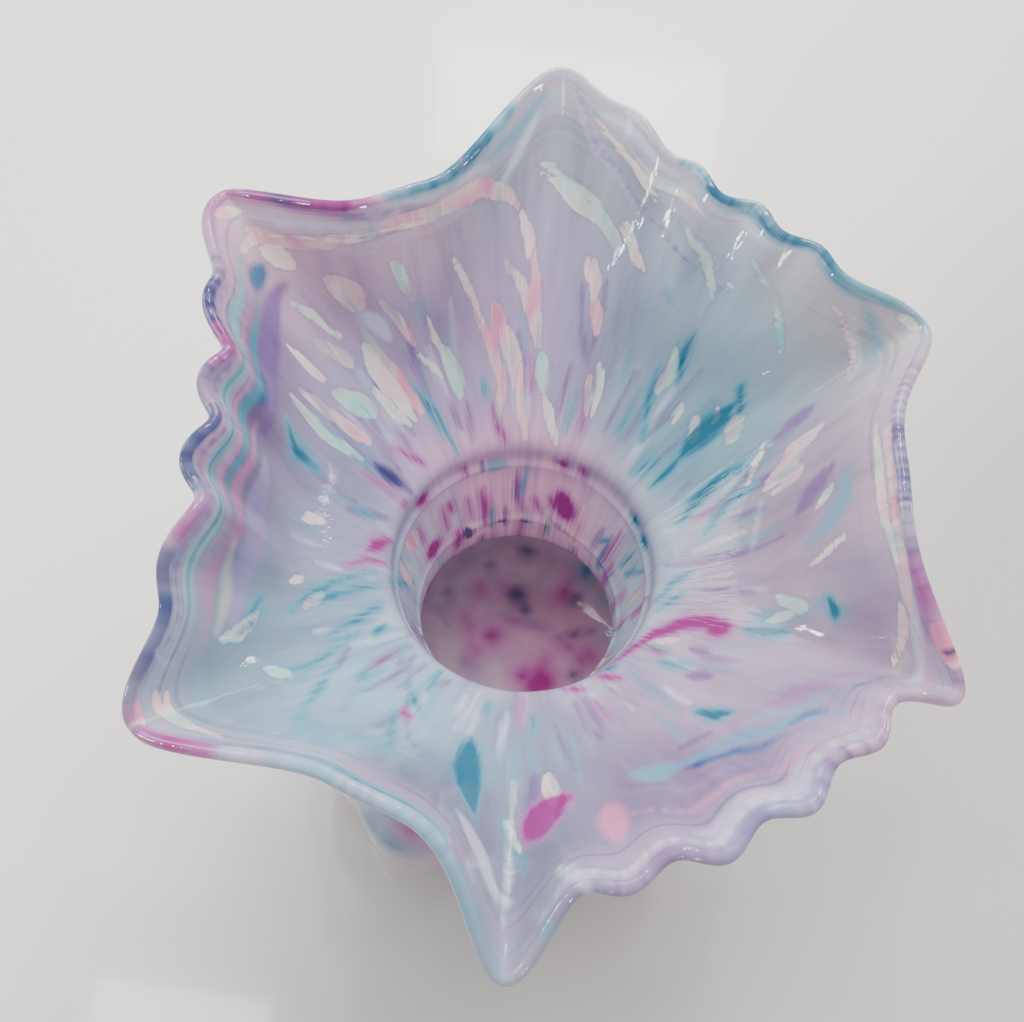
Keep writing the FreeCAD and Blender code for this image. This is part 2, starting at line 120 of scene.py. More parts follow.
@dataclass(frozen=True)
class WallForm:
    """The vase's wall: a place (-1 floor edge, 0 throat, 1 lip), an azimuth and a depth give a point."""

    pad_thickness: float
    wall: float = 3.4
    lip_wall: float = 2.7
    floor_radius: float = 34.0
    body_radius: float = 61.0
    body_height: float = 43.0
    waist_radius: float = 27.6
    waist_height: float = 80.0
    throat_radius: float = 33.7
    throat_height: float = 126.0
    rib_count: int = 12
    rib_depth: float = 2.0
    rib_azimuth: float = -117.0
    crease_radius: float = 55.5
    crease_rise: float = 17.0
    crease_round: float = 9.0
    lip_flare: float = 1.6
    point_round: float = 0.10
    point_soft: float = 0.45
    crimp_lift: float = 0.5
    points: tuple = (
        Point(32.0, 98.5, 40.0),
        Point(93.0, 106.5, 52.0),
        Point(141.0, 101.0, 44.0),
        Point(221.5, 89.5, 40.0),
        Point(273.0, 94.0, 38.0),
        Point(338.5, 92.0, 40.0),
    )
    sides: tuple = (
        Side(76.5, 57.0, 5.3, 1.8, 5.2, 0.0, 1.3),
        Side(68.5, 57.0, 2.0, 5.0),
        Side(64.0, 57.0, 2.5, 3.2, 5.3, 0.0, 2.1),
        Side(72.5, 55.0, 1.6, 5.1),
        Side(80.0, 52.0, 9.0, 10.0, 5.3, 0.15, 1.7),
        Side(70.5, 57.0, 3.9, 2.4),
    )

    def side_place(self, azimuth: Array) -> tuple[Array, Array]:
        """Side number and place along it, 0 to 1, of each azimuth."""
        starts = np.array([point.azimuth for point in self.points])
        turned = (azimuth - starts[0]) % 360 + starts[0]
        side = np.clip(np.searchsorted(starts, turned, side="right") - 1, 0, 5)
        ends = np.append(starts[1:], starts[0] + 360)
        return side, (turned - starts[side]) / (ends[side] - starts[side])

    def lip(self, azimuth: Array, bluntness: float) -> tuple[Array, Array, Array, Array]:
        """Reach, rise, crimp and lift of the lip.

        Formula: from a point's own value the reach and rise fall to the side's value as a power of
        the distance to the side's middle, blunted at the point; a windowed sine makes the crimps.

        Args:
            azimuth: degrees.
            bluntness: of the points, as a share of a side.

        Returns:
            Reach, rise, radial crimp and vertical crimp in millimetres.
        """
        side, along = self.side_place(azimuth)
        early = along < 0.5
        nearest = np.where(early, side, (side + 1) % 6)
        of_side = {k: np.array([getattr(s, k) for s in self.sides])[side] for k in Side.__annotations__}
        sharpness = np.where(early, of_side["leave"], of_side["arrive"])
        inward = 1 - np.abs(2 * along - 1)
        blunt = np.sqrt(inward**2 + bluntness**2) - bluntness
        blunt /= math.sqrt(1 + bluntness**2) - bluntness
        pointed = (1 - blunt) ** sharpness
        point_reach = np.array([point.reach for point in self.points])[nearest]
        point_rise = np.array([point.rise for point in self.points])[nearest]
        reach = of_side["reach"] + (point_reach - of_side["reach"]) * pointed
        rise = of_side["rise"] + (point_rise - of_side["rise"]) * pointed
        crimp = of_side["depth"] * (1 - (2 * along - 1) ** 8)
        phase = 2 * np.pi * (of_side["waves"] * along + of_side["phase"])
        return reach, rise, crimp * np.sin(phase), crimp * self.crimp_lift * np.cos(phase)

    def bell(self, along: Array, azimuth: Array) -> tuple[Array, Array]:
        """Radius and height of the bell's mid-wall.

        Formula: two straight lines, throat to crease and crease to lip, joined by a soft corner;
        the points sharpen and the crimps grow with the square of the place, and the lip curls out
        with its eighth power.

        Args:
            along: column of places, 0 at the throat and 1 at the lip.
            azimuth: row of azimuths in degrees.

        Returns:
            Radius and height grids in millimetres.
        """
        sharp_reach, sharp_rise, crimp, lift = self.lip(azimuth, self.point_round)
        soft_reach, soft_rise = self.lip(azimuth, self.point_soft)[:2]
        fade = along**2
        reach = soft_reach + (sharp_reach - soft_reach) * fade
        rise = soft_rise + (sharp_rise - soft_rise) * fade
        floor_run, floor_rise = self.crease_radius - self.throat_radius, self.crease_rise
        side_run, side_rise = reach - self.crease_radius, rise - self.crease_rise
        floor_length, side_length = math.hypot(floor_run, floor_rise), np.hypot(side_run, side_rise)
        whole = floor_length + side_length
        side_part = soft_positive(along * whole - floor_length, self.crease_round)
        first = soft_positive(np.float64(-floor_length), self.crease_round)
        last = soft_positive(side_length, self.crease_round)
        floor_share = (along * whole - side_part + first) / (whole - last + first)
        side_share = (side_part - first) / (last - first)
        radius = self.throat_radius + floor_run * floor_share + side_run * side_share
        radius = radius + crimp * fade + self.lip_flare * along**8
        height = self.throat_height + floor_rise * floor_share + side_rise * side_share + lift * fade
        return radius, height

    def lower(self, share: Array) -> tuple[Array, Array]:
        """Radius and height of the body and neck, a clamped cubic spline from floor edge to throat."""
        floor, low = self.pad_thickness + self.wall / 2, self.waist_height
        mid, body, waist = self.body_height, self.body_radius, self.waist_radius
        neck, flat = self.throat_height - low, self.floor_radius
        spread, neck_in = body - flat, body - waist
        poles = np.array([
            (flat, floor),
            (flat + 0.45 * spread, floor),
            (flat + 0.90 * spread, floor + 0.26 * (mid - floor)),
            (body * 1.035, mid - 0.12 * (mid - floor)),
            (body * 1.01, mid + 0.40 * (low - mid)),
            (waist + 0.62 * neck_in, mid + 0.80 * (low - mid)),
            (waist + 0.13 * neck_in, low - 0.08 * (low - mid)),
            (waist, low + 0.10 * neck),
            (waist, low + 0.30 * neck),
            (0.5 * (waist + self.throat_radius), low + 0.58 * neck),
            (self.throat_radius, self.throat_height - 0.12 * neck),
            (self.throat_radius, self.throat_height),
        ])
        fine = clamped_cubic(poles, np.linspace(0, 1, 801))
        travel = np.concatenate([[0], np.cumsum(np.hypot(*np.diff(fine, axis=0).T))])
        wanted = np.clip(share, 0, 1) * travel[-1]
        return np.interp(wanted, travel, fine[:, 0]), np.interp(wanted, travel, fine[:, 1])

    def middle(self, place: Array, azimuth: Array) -> Array:
        """Mid-wall points, a grid of place by azimuth, with the melon ribs on the body.

        Args:
            place: places from -1 to 1.
            azimuth: azimuths in degrees.

        Returns:
            Grid of points in millimetres, shape places, azimuths, 3.
        """
        column, row = place[:, None], azimuth[None, :]
        low_radius, low_height = self.lower(place + 1)
        climb = (low_height - self.pad_thickness) / (self.waist_height - self.pad_thickness)
        fade = (np.sin(np.pi * np.clip(climb, 0, 1)) ** 2)[:, None]
        ribs = self.rib_depth * fade * np.cos(np.radians(self.rib_count * (row - self.rib_azimuth)))
        high_radius, high_height = self.bell(np.maximum(column, 0), row)
        radius = np.where(column < 0, low_radius[:, None] + ribs, high_radius)
        height = np.where(column < 0, low_height[:, None] + 0 * row, high_height)
        turn = np.radians(row)
        return np.stack([radius * np.cos(turn), radius * np.sin(turn), height], axis=-1)

    def outward(self, place: Array, azimuth: Array) -> Array:
        """Unit normals of the mid-wall, the cross of the way round and the way up."""
        nudge = 0.012
        up = self.middle(np.minimum(place + nudge, 1), azimuth)
        up = up - self.middle(np.maximum(place - nudge, -1), azimuth)
        around = self.middle(place, azimuth + 0.25) - self.middle(place, azimuth - 0.25)
        normal = np.cross(around, up)
        return normal / np.linalg.norm(normal, axis=-1, keepdims=True)

    def thickness(self, place: Array) -> Array:
        """Wall thickness, whole up to the throat and thinner towards the lip."""
        return self.wall + (self.lip_wall - self.wall) * np.maximum(place, 0) ** 2

    def face(self, place: Array, azimuth: Array, depth: float) -> Array:
        """Points at a depth through the wall, 0 the inside face and 1 the outside face."""
        shift = self.thickness(place)[:, None, None] * (depth - 0.5)
        return self.middle(place, azimuth) + self.outward(place, azimuth) * shift


# ---------------------------------------------------------------- mesh


def closed_mesh(name: str, grid: Array, fields: dict[str, Array],
                nodes: list[str]) -> bpy.types.Object:
    """Make a closed piece from a grid that wraps round the axis, capped at its first and last rows.

    Args:
        name: piece name.
        grid: points in millimetres, shape rows, columns, 3.
        fields: point attributes by name, a number or a vector for each grid point.
        nodes: CAD nodes that the piece stands for.

    Returns:
        The new object, riding on the root body.
    """
    rows, columns = grid.shape[:2]
    number = np.arange(rows * columns).reshape(rows, columns)
    beside = np.roll(number, -1, axis=1)
    quads = np.stack([number[:-1], beside[:-1], beside[1:], number[1:]], axis=-1).reshape(-1, 4)
    a, b, c = (grid.reshape(-1, 3)[quads[:, k]] for k in (0, 1, 2))
    inside_out = np.einsum("ij,ij->i", a, np.cross(b, c)).sum() < 0
    if inside_out:
        quads = quads[:, ::-1]
    caps = [number[0][::-1].tolist(), number[-1].tolist()]
    if inside_out:
        caps = [cap[::-1] for cap in caps]
    mesh = bpy.data.meshes.new(name)
    mesh.from_pydata((grid.reshape(-1, 3) * MM).tolist(), [], quads.tolist() + caps)
    mesh.shade_smooth()
    for key, values in fields.items():
        flat = np.ascontiguousarray(values, dtype=np.float32).reshape(-1)
        kind = "FLOAT_VECTOR" if values.ndim == 3 else "FLOAT"
        layer = mesh.attributes.new(key, kind, "POINT")
        layer.data.foreach_set("vector" if kind == "FLOAT_VECTOR" else "value", flat)
    mesh.update()
    piece = bpy.data.objects.new(name, mesh)
    bpy.context.scene.collection.objects.link(piece)
    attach(piece, "root")
    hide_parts(*nodes)
    return piece


# ---------------------------------------------------------------- colour laid in the glass


class Kind(Enum):
    """Kinds of colour laid in the glass: the field that carries it and the field's channel. The pale and cream
    kinds also carry painted highlights.
    """

    TEAL = ("frit_one", 0)
    MINT = ("frit_one", 1)
    AQUA = ("frit_one", 2)
    MAGENTA = ("frit_and_highlight_two", 0)
    ROSE = ("frit_and_highlight_two", 1)
    # Cream: the cream tears, and painted highlights at the points.
    CREAM = ("frit_and_highlight_two", 2)
    COBALT = ("frit_and_highlight_three", 0)
    VIOLET = ("frit_and_highlight_three", 1)
    # Pale: pale streaks, and painted highlights along the lips and walls.
    PALE = ("frit_and_highlight_three", 2)


T, N, A, M, R = Kind.TEAL, Kind.MINT, Kind.AQUA, Kind.MAGENTA, Kind.ROSE
Y, C, V, P = Kind.CREAM, Kind.COBALT, Kind.VIOLET, Kind.PALE

# Drawn-out chips and lustred tears of the bell and neck, with painted highlights among the pale and cream
# strokes on the lips and points: kind, width in millimetres, then the path as azimuth in degrees and place.
LAID: dict[Kind, tuple] = {
    Kind.ROSE: (
        (2.9, 102, .582, 98, .464, 95, .37, 93, .279), (1.8, 110, .508, 106, .328, 104, .197, 107, .077),
        (3.6, 105, .477, 103, .366, 100, .261, 99, .159),
        (3.9, 120, .893, 114, .933, 107, .898, 102, .804, 99, .704), (1.6, 97, .613, 95, .471, 94, .393),
        (1.4, 130, .669, 128, .568, 126, .462), (6.2, 136, .735, 134, .691, 134, .635),
        (2.8, 135, .542, 135, .453, 133, .299, 132, .206), (2.0, 145, .542, 143, .484, 142, .419),
        (2.0, 157, .56, 155, .413, 152, .277), (2.3, 155, .39, 152, .232),
        (2.0, 81, .466, 79, .435, 78, .393), (1.4, 142, .898, 137, .871, 130, .909, 116, .907),
        (1.5, 145, .873, 139, .855, 134, .862), (2.0, 128, .935, 120, .92, 113, .94),
        (1.4, 219, .989, 222, .987), (1.0, 330, .061, 334, .157), (2.4, 281, .442, 281, .615),
        (1.5, 355, .969, 349, .969, 345, .944), (1.0, 344, 1.00, 341, 1.00), (2.2, 81, .484, 78, .424),
        (5.5, 23, .68, 21, .595, 18, .542, 16, .457), (3.1, 19, .562, 15, .604, 14, .497),
        (1.4, 16, .982, 6, .976, 356, .98, 350, .989), (1.0, 77, .25, 74, .139), (5.0, 166, -.07, 162, -.112),
    ),
    # Cream tears, and painted highlights at the points.
    Kind.CREAM: (
        (1.4, 114, .751, 112, .642, 108, .444), (1.3, 98, .239, 98, .117, 96, .01), (1.8, 90, .143, 82, .01),
        (2.3, 99, .704, 97, .6, 97, .537), (1.5, 122, .555, 120, .404, 118, .281),
        (1.1, 126, .419, 122, .301), (3.4, 136, .486, 137, .395, 136, .27, 135, .192),
        (1.5, 144, .673, 142, .604, 140, .511), (2.1, 152, .657, 151, .553, 150, .475),
        (1.8, 141, .333, 140, .226, 137, .172), (4.0, 142, .833, 140, .8, 139, .771),
        (2.5, 184, .386, 182, .286), (2.4, 83, .582, 81, .524, 81, .466), (1.4, 75, .31, 73, .246, 72, .135),
        (1.7, 95, .758, 89, .697, 85, .68), (1.3, 79, .726, 76, .706, 74, .66),
        (1.0, 140, .867, 135, .893, 126, .909, 118, .898), (2.8, 145, .98, 141, .944),
        (1.2, 200, .386, 202, .459), (1.6, 218, .949, 223, .922, 227, .94),
        (1.4, 219, .911, 226, .924, 231, .944), (1.6, 346, .935, 343, .898, 340, .842),
        (1.2, 353, .624, 355, .731, 356, .793), (1.2, 91, .737, 88, .722, 84, .677),
        (1.3, 78, .753, 75, .706, 72, .664), (2.4, 84, .568, 82, .506), (0.9, 42, .439, 40, .377),
        (1.5, 7, .764, 4, .675), (1.0, 28, .464, 20, .386), (1.2, 49, .355, 48, .279),
        (1.0, 80, .898, 72, .92, 63, .944), (1.6, 35, .978, 32, .98),
        (1.7, 14, .947, 5, .94, 356, .949, 350, .962), (1.0, 40, .929, 37, .871, 31, .758),
        (1.1, 55, .782, 54, .782), (1.1, 88, .949, 82, .904, 74, .878),
    ),
    Kind.MAGENTA: (
        (1.6, 108, .143, 107, .061, 104, .012), (1.8, 147, .155, 144, .079, 141, .039),
        (3.5, 186, .09, 178, .001), (1.1, 77, .253, 76, .164, 73, .079),
        (1.9, 148, 1.00, 145, 1.00, 142, .993, 138, 1.00), (1.6, 136, 1.00, 132, 1.00, 130, 1.00),
        (1.5, 194, .179, 190, .095, 189, .014), (2.3, 245, .321, 246, .346),
        (4.5, 324, .012, 334, .057, 340, .141, 342, .246, 342, .317), (5.2, 340, .241, 341, .319),
        (2.5, 314, .003, 326, .019, 334, .075), (10.1, 281, .58, 279, .628, 278, .68),
        (5.9, 283, .573, 280, .626), (1.0, 276, .034, 275, .206), (1.8, 292, .01, 300, .059),
        (1.8, 306, .012, 312, .092), (3.8, 27, -1.20, 27, -1.20), (1.5, 125, -.019, 124, -.05),
        (2.8, 80, -.026, 75, -.032), (2.1, 67, -.014, 66, -.043), (4.6, 149, -.028, 151, -.034),
        (1.5, 158, .006, 161, .008), (2.3, 117, -.106, 116, -.148, 116, -.208),
        (6.7, 75, -.108, 71, -.143, 68, -.172), (2.2, 80, -.126, 76, -.161), (1.5, 88, -.141, 84, -.179),
        (1.1, 98, -.121, 95, -.177), (2.2, 136, -.095, 135, -.132), (6.5, 153, -.177, 153, -.177),
        (3.2, 134, -.188, 136, -.246), (5.3, 110, -.94, 109, -.944), (4.6, 122, -1.02, 122, -1.03),
        (7.2, 114, -1.10, 104, -1.11), (4.7, 125, -1.11, 127, -1.14), (6.5, 57, -1.17, 50, -1.17),
        (7.8, 74, -1.24, 55, -1.23), (13.4, 41, -1.22, 37, -1.21), (6.9, 39, -1.03, 35, -1.02),
        (2.9, 58, -1.08, 42, -1.02), (2.4, 93, -1.04, 89, -1.04), (3.6, 100, -.94, 97, -.947),
        (1.4, 127, 1, 143, 1), (1.4, 163, 1, 172, 1), (1.4, 197, 1, 203, 1), (1.2, 222, 1, 232, 1),
        (1.0, 343, 1, 350, 1),
    ),
    Kind.MINT: (
        (2.8, 92, .257, 90, .155), (3.4, 120, .422, 118, .301, 118, .21),
        (2.1, 126, .791, 125, .717, 124, .64), (4.6, 150, .417, 147, .328, 145, .264),
        (2.1, 160, .588, 160, .484, 160, .37, 158, .228), (1.8, 95, .782, 90, .729, 86, .704, 80, .675),
        (2.7, 82, .689, 78, .669), (2.0, 210, .624, 213, .7, 214, .775), (1.7, 208, .402, 204, .304),
        (1.3, 211, .635, 213, .715), (2.0, 220, .595, 223, .533), (0.9, 272, .591, 275, .691),
        (2.1, 349, .497, 347, .568, 347, .606), (1.4, 344, .457, 346, .548),
        (1.7, 90, .749, 85, .733, 80, .682, 79, .677), (1.5, 68, .867, 63, .846, 59, .769, 56, .711),
        (1.2, 53, .893, 48, .842, 44, .784, 41, .709), (2.1, 58, .497, 56, .417, 57, .337),
        (1.9, 44, .353, 40, .281), (2.7, 37, .448, 34, .359),
    ),
    Kind.TEAL: (
        (1.7, 131, .328, 129, .177, 126, .017), (1.6, 131, .29, 126, .117),
        (3.3, 167, .613, 170, .513, 169, .37), (2.2, 131, 1.00, 131, 1.00), (1.5, 206, .588, 212, .684),
        (1.9, 209, .473, 205, .368, 200, .235, 194, .057), (2.2, 207, .377, 204, .241, 200, .068),
        (1.8, 209, .586, 212, .66, 214, .731), (1.5, 216, .335, 213, .199, 208, .07),
        (1.1, 222, .517, 222, .404, 220, .315, 215, .166), (1.9, 219, .155, 216, .081),
        (0.9, 225, .384, 230, .542, 234, .713), (1.5, 230, .339, 228, .177, 227, .041),
        (1.0, 243, .35, 250, .66), (1.3, 240, .197, 247, .281),
        (7.4, 262, .306, 263, .459, 264, .608, 266, .689), (1.4, 271, .582, 274, .682, 276, .755),
        (7.9, 224, -.7, 240, -.562, 252, -.611), (1.3, 349, .01, 356, .061, 0, .132),
        (1.3, 345, .03, 352, .108), (3.8, 316, .43, 317, .519, 319, .575),
        (3.6, 348, .684, 346, .711, 345, .691), (3.1, 341, .379, 342, .455, 342, .522),
        (2.7, 56, .582, 56, .499, 53, .395), (5.9, 40, .475, 40, .353, 39, .206), (2.4, 42, .544, 37, .439),
        (2.2, 40, .241, 38, .139, 38, .072), (1.7, 60, .408, 58, .29, 52, .164),
        (3.5, 26, .428, 26, .288, 23, .172, 19, .108), (3.0, 19, .424, 18, .288, 11, .179),
        (1.6, 66, 1.00, 58, .987, 50, 1.00, 43, 1.00, 39, .991, 36, .996), (3.1, 34, -.026, 30, -.028),
        (3.4, 24, -.034, 20, -.028), (1.8, 179, -.155, 179, -.155), (1.7, 203, -.095, 203, -.095),
        (1.3, 197, -.001, 181, -.148), (1.7, 44, -.166, 40, -.135), (1.3, 25, -.15, 22, -.075),
        (1.0, 19, -.143, 10, -.057), (1.3, 54, -.893, 54, -.893), (2.3, 40, -.206, 33, -.208),
        (1.8, 42, -.942, 42, -.942), (2.1, 311, .008, 315, .026), (2.7, 195, -.217, 208, -.197),
        (1.6, 40, 1, 55, 1, 72, 1), (1.8, 100, 1, 112, 1, 124, 1), (1.8, 239, .985, 252, .985, 264, .985),
    ),
    Kind.AQUA: (
        (2.0, 124, .64, 122, .535, 120, .446), (6.8, 170, .575, 169, .442),
        (4.8, 220, .604, 222, .542, 225, .484), (8.1, 233, .68, 240, .775, 244, .878),
        (1.9, 236, .546, 232, .324, 231, .21), (10.9, 245, .722, 248, .64),
        (1.6, 244, .068, 247, .177, 248, .304), (6.3, 255, -.686, 255, -.686), (1.5, 278, 1.00, 278, 1.00),
        (1.3, 217, .822, 220, .809, 226, .844), (3.7, 345, .384, 345, .493, 346, .602),
        (2.8, 347, .626, 347, .68), (7.0, 296, .571, 302, .626), (3.4, 358, .628, 359, .715, 359, .778),
        (0.6, 277, .993, 278, 1.00), (5.8, 8, .826, 3, .795, 358, .669), (1.7, 66, .662, 64, .635),
        (3.2, 38, .973, 35, .904, 30, .831), (1.4, 68, .43, 67, .279), (5.3, 113, -.043, 105, -.046),
        (1.1, 180, -.046, 170, -.117), (1.8, 62, -.27, 62, -.27), (0.9, 87, -.228, 87, -.228),
        (2.6, 95, .96, 99, .929, 106, .962), (1.6, 30, 1, 44, 1), (1.8, 262, 1, 273, 1),
    ),
    # Pale streaks, and painted highlights along the lips and down the walls.
    Kind.PALE: (
        (4.1, 134, .62, 132, .566, 131, .506), (1.5, 143, .953, 138, .924, 133, .942, 128, .909),
        (1.4, 128, .976, 119, .976, 112, .987, 105, .938), (1.0, 273, .586, 273, .737, 272, .911),
        (1.2, 230, 1.00, 238, 1.00, 246, 1.00), (5.8, 264, .786, 268, .813, 271, .862),
        (1.7, 355, .984, 348, .978, 343, .94, 336, .889), (2.5, 280, .895, 282, 1.00),
        (1.1, 13, .43, 8, .397, 2, .368), (2.4, 79, .92, 72, .935, 62, .942),
        (1.6, 68, .98, 56, .951, 49, .987, 42, .989), (1.8, 20, .987, 8, 1.00, 358, 1.00, 351, 1.00),
        (1.8, 38, .924, 36, .853, 30, .771), (2.3, 86, .967, 79, .969, 72, .971),
        (2.8, 96, .931, 99, .873, 103, .824), (1.6, 90, .958, 86, .873, 76, .806),
        (2.5, 109, .922, 117, .918, 127, .935), (0.8, 236, 1, 266, 1), (1.6, 276, .98, 300, .97, 330, .97),
    ),
    Kind.VIOLET: (
        (3.6, 156, .177, 155, .095, 154, .012), (1.9, 175, .201, 173, .128, 170, .037),
        (1.4, 138, .996, 135, 1.00, 128, .962, 120, .962), (1.1, 231, .057, 243, .266, 252, .517),
        (0.9, 221, .277, 226, .384), (1.6, 224, 1.00, 233, 1.00), (1.0, 352, .201, 352, .295, 351, .393),
        (1.6, 332, .224, 332, .299), (3.0, 324, .279, 326, .366), (2.0, 306, .557, 310, .544, 313, .56),
        (0.7, 290, 1.00, 297, 1.00, 302, 1.00, 305, 1.00), (2.6, 278, .433, 277, .544, 277, .648),
        (1.4, 294, .268, 295, .33), (1.1, 354, 1.00, 347, 1.00, 343, .969), (1.6, 280, .686, 280, .686),
        (2.4, 19, .522, 18, .384), (4.6, 11, .771, 9, .684, 6, .593), (1.1, 24, 1.00, 24, 1.00),
        (1.1, 84, .491, 82, .366, 78, .275), (2.8, 29, .644, 27, .497), (1.2, 116, -.026, 116, -.057),
        (0.8, 95, -.097, 96, -.128), (1.6, 80, -.192, 64, -.208), (1.5, 86, -1.06, 67, -1.03),
        (5.1, 138, -1.14, 142, -1.17), (1.2, 90, .971, 86, .873, 76, .818, 56, .755),
        (1.4, 103, .824, 113, .924, 123, .956), (1.6, 150, .97, 185, .97, 214, .97),
        (1.6, 228, .985, 244, .985), (0.6, 284, 1, 300, 1, 330, 1), (1.4, 340, 1, 360, 1, 385, 1),
    ),
    Kind.COBALT: (
        (2.5, 156, .181, 155, .048), (1.0, 139, 1.00, 136, 1.00, 132, 1.00),
        (1.5, 112, 1.00, 108, 1.00, 106, 1.00), (0.9, 342, 1.00, 342, 1.00), (1.1, 23, .428, 18, .235),
        (0.8, 56, .991, 50, 1.00, 43, 1.00), (3.7, 129, -.195, 126, -.232), (1.7, 109, -.204, 104, -.208),
        (1.7, 96, -.208, 87, -.21), (6.5, 93, -.964, 90, -.976), (4.7, 87, -.989, 84, -.993),
        (4.9, 65, -.929, 62, -.931), (3.5, 104, -.898, 103, -.902), (3.8, 125, -.931, 124, -.94),
        (4.1, 92, -.855, 86, -.858), (1.9, 59, -1.04, 47, -.96), (2.9, 31, -1.11, 29, -1.07),
        (0.8, 50, 1, 66, 1), (0.9, 104, 1, 116, 1), (1.2, 146, 1, 160, 1, 175, 1), (1.2, 180, 1, 196, 1),
        (1.3, 204, 1, 221, 1), (1.1, 346, 1, 362, 1, 371, 1),
    ),
}

# Soft bands in the milky glass, one of them a painted highlight: display colour, width in mm, then azimuth and
# place along the band.
BANDS: tuple = (
    ((51, 58, 120), 3.4, (146, 1.0), (160, 1.0), (180, 1.0), (200, 1.0), (218, 1.0)),
    ((190, 123, 161), 3.7, (145, 0.93), (156, 0.96), (170, 0.95), (184, 0.97), (200, 0.96), (212, 0.97)),
    ((50, 171, 169), 4.1, (146, 0.88), (154, 0.91), (163, 0.90), (172, 0.92), (181, 0.94), (190, 0.93)),
    ((88, 180, 173), 3.7, (184, 0.90), (191, 0.91), (199, 0.92), (206, 0.93), (212, 0.92)),
    ((17, 120, 144), 2.5, (176, 0.90), (184, 0.93), (192, 0.89), (203, 0.94)),
    ((174, 116, 163), 3.4, (148, 0.86), (160, 0.86), (172, 0.88), (184, 0.88), (198, 0.87), (210, 0.88)),
    ((4, 89, 132), 4.8, (144, 0.80), (149, 0.82)), ((5, 86, 126), 6.2, (163, 0.77), (170, 0.80)),
    ((26, 136, 154), 3.2, (150, 0.82), (160, 0.80), (172, 0.83), (184, 0.84), (196, 0.82)),
    ((174, 118, 156), 3.9, (174, 0.75), (186, 0.79), (196, 0.79), (206, 0.84), (215, 0.85)),
    ((113, 87, 142), 6.9, (143, 0.72), (152, 0.75), (160, 0.72), (174, 0.70)),
    ((152, 138, 181), 8.6, (180, 0.68), (190, 0.66), (202, 0.70), (213, 0.74)),
    ((177, 181, 177), 3.0, (200, 0.80), (207, 0.76), (213, 0.80)),
    ((107, 145, 176), 3.7, (297, 0.56), (305, 0.64), (313, 0.64), (318, 0.76), (323, 0.79), (326, 0.90)),
    ((42, 89, 147), 1.8, (304, 0.67), (307, 0.68), (312, 0.70), (315, 0.78), (318, 0.82)),
    ((10, 73, 131), 1.5, (305, 0.68), (306, 0.69)),
    ((73, 90, 140), 1.3, (320, 0.79), (323, 0.79), (325, 0.83)),
    ((87, 89, 136), 2.4, (330, 0.88), (332, 0.88), (336, 0.83)),
    ((137, 154, 183), 2.1, (317, 0.65), (321, 0.70), (326, 0.79), (330, 0.86)),
    ((166, 119, 161), 3.4, (322, 0.64), (327, 0.70), (330, 0.78), (334, 0.75)),
    ((149, 120, 163), 2.3, (292, 0.68), (298, 0.68), (303, 0.78), (306, 0.77), (310, 0.77), (315, 0.86),
     (318, 0.86), (320, 0.90), (322, 0.93)),
    ((189, 128, 164), 1.9, (290, 0.78), (296, 0.82), (302, 0.84), (304, 0.85), (310, 0.83), (314, 0.89),
     (316, 0.90), (318, 0.94), (320, 0.97)),
    # A pale lilac band along the lip, painted as a highlight.
    ((183, 178, 203), 4.2, (297, 0.93), (301, 0.94), (305, 0.95), (308, 0.95), (315, 0.94), (317, 0.98)),
    ((122, 126, 169), 1.8, (290, 1.00), (296, 1.00), (301, 1.00), (304, 1.00), (305, 1.00), (311, 0.97),
     (314, 1.00), (316, 1.00)),
    ((131, 86, 133), 1.0, (322, 1.00), (323, 1.00), (331, 1.00)),
    ((174, 132, 165), 5.3, (325, 0.92), (328, 0.99), (330, 1.00)),
    ((193, 137, 157), 2.1, (343, 0.96), (341, 0.95), (338, 0.93)),
    ((203, 189, 176), 2.5, (343, 0.88), (341, 0.88), (339, 0.84)),
    ((134, 76, 123), 1.3, (343, 1.00), (340, 1.00), (336, 1.00)),
    ((143, 85, 126), 1.8, (333, 1.00), (336, 1.00)),
    ((200, 120, 162), 5.3, (289, 0.69), (288, 0.86)),
)

# Colour of the milky glass by zone: azimuth, place, their spreads, and a display colour from 0 to 255.
ZONES: tuple = (
    (100.0, 0.40, 45.0, 0.35, (172, 150, 186)),
    (92.0, 0.95, 22.0, 0.25, (156, 162, 166)),
    (60.0, 0.60, 20.0, 0.30, (164, 188, 200)),
    (45.0, 0.35, 26.0, 0.30, (104, 167, 175)),
    (35.0, 0.98, 14.0, 0.20, (186, 188, 180)),
    (10.0, 0.65, 22.0, 0.40, (173, 148, 165)),
    (335.0, 0.50, 26.0, 0.45, (180, 159, 181)),
    (305.0, 0.80, 28.0, 0.30, (123, 100, 138)),
    (275.0, 0.60, 18.0, 0.50, (122, 122, 146)),
    (273.0, 0.97, 9.0, 0.22, (112, 124, 142)),
    (240.0, 0.35, 30.0, 0.35, (150, 182, 199)),
    (215.0, 0.75, 18.0, 0.30, (117, 136, 152)),
    (180.0, 0.35, 26.0, 0.30, (151, 148, 175)),
    (168.0, 0.85, 22.0, 0.25, (97, 70, 114)),
    (132.0, 0.85, 16.0, 0.22, (216, 178, 192)),
    (90.0, -0.15, 60.0, 0.18, (246, 176, 202)),
    (0.0, -0.15, 45.0, 0.18, (158, 198, 206)),
    (180.0, -0.15, 40.0, 0.18, (158, 176, 196)),
    (270.0, -0.15, 50.0, 0.18, (186, 170, 192)),
    (0.0, -1.20, 400.0, 0.45, (196, 172, 180)),
    (215.0, -1.15, 50.0, 0.18, (204, 188, 176)),
    (60.0, -1.10, 40.0, 0.18, (214, 122, 156)),
)


def to_linear(display: tuple) -> tuple:
    """Turn a display colour from 0 to 255 into a linear one from 0 to 1."""
    shares = [channel / 255 for channel in display]
    return tuple(c / 12.92 if c <= 0.04045 else ((c + 0.055) / 1.055) ** 2.4 for c in shares)


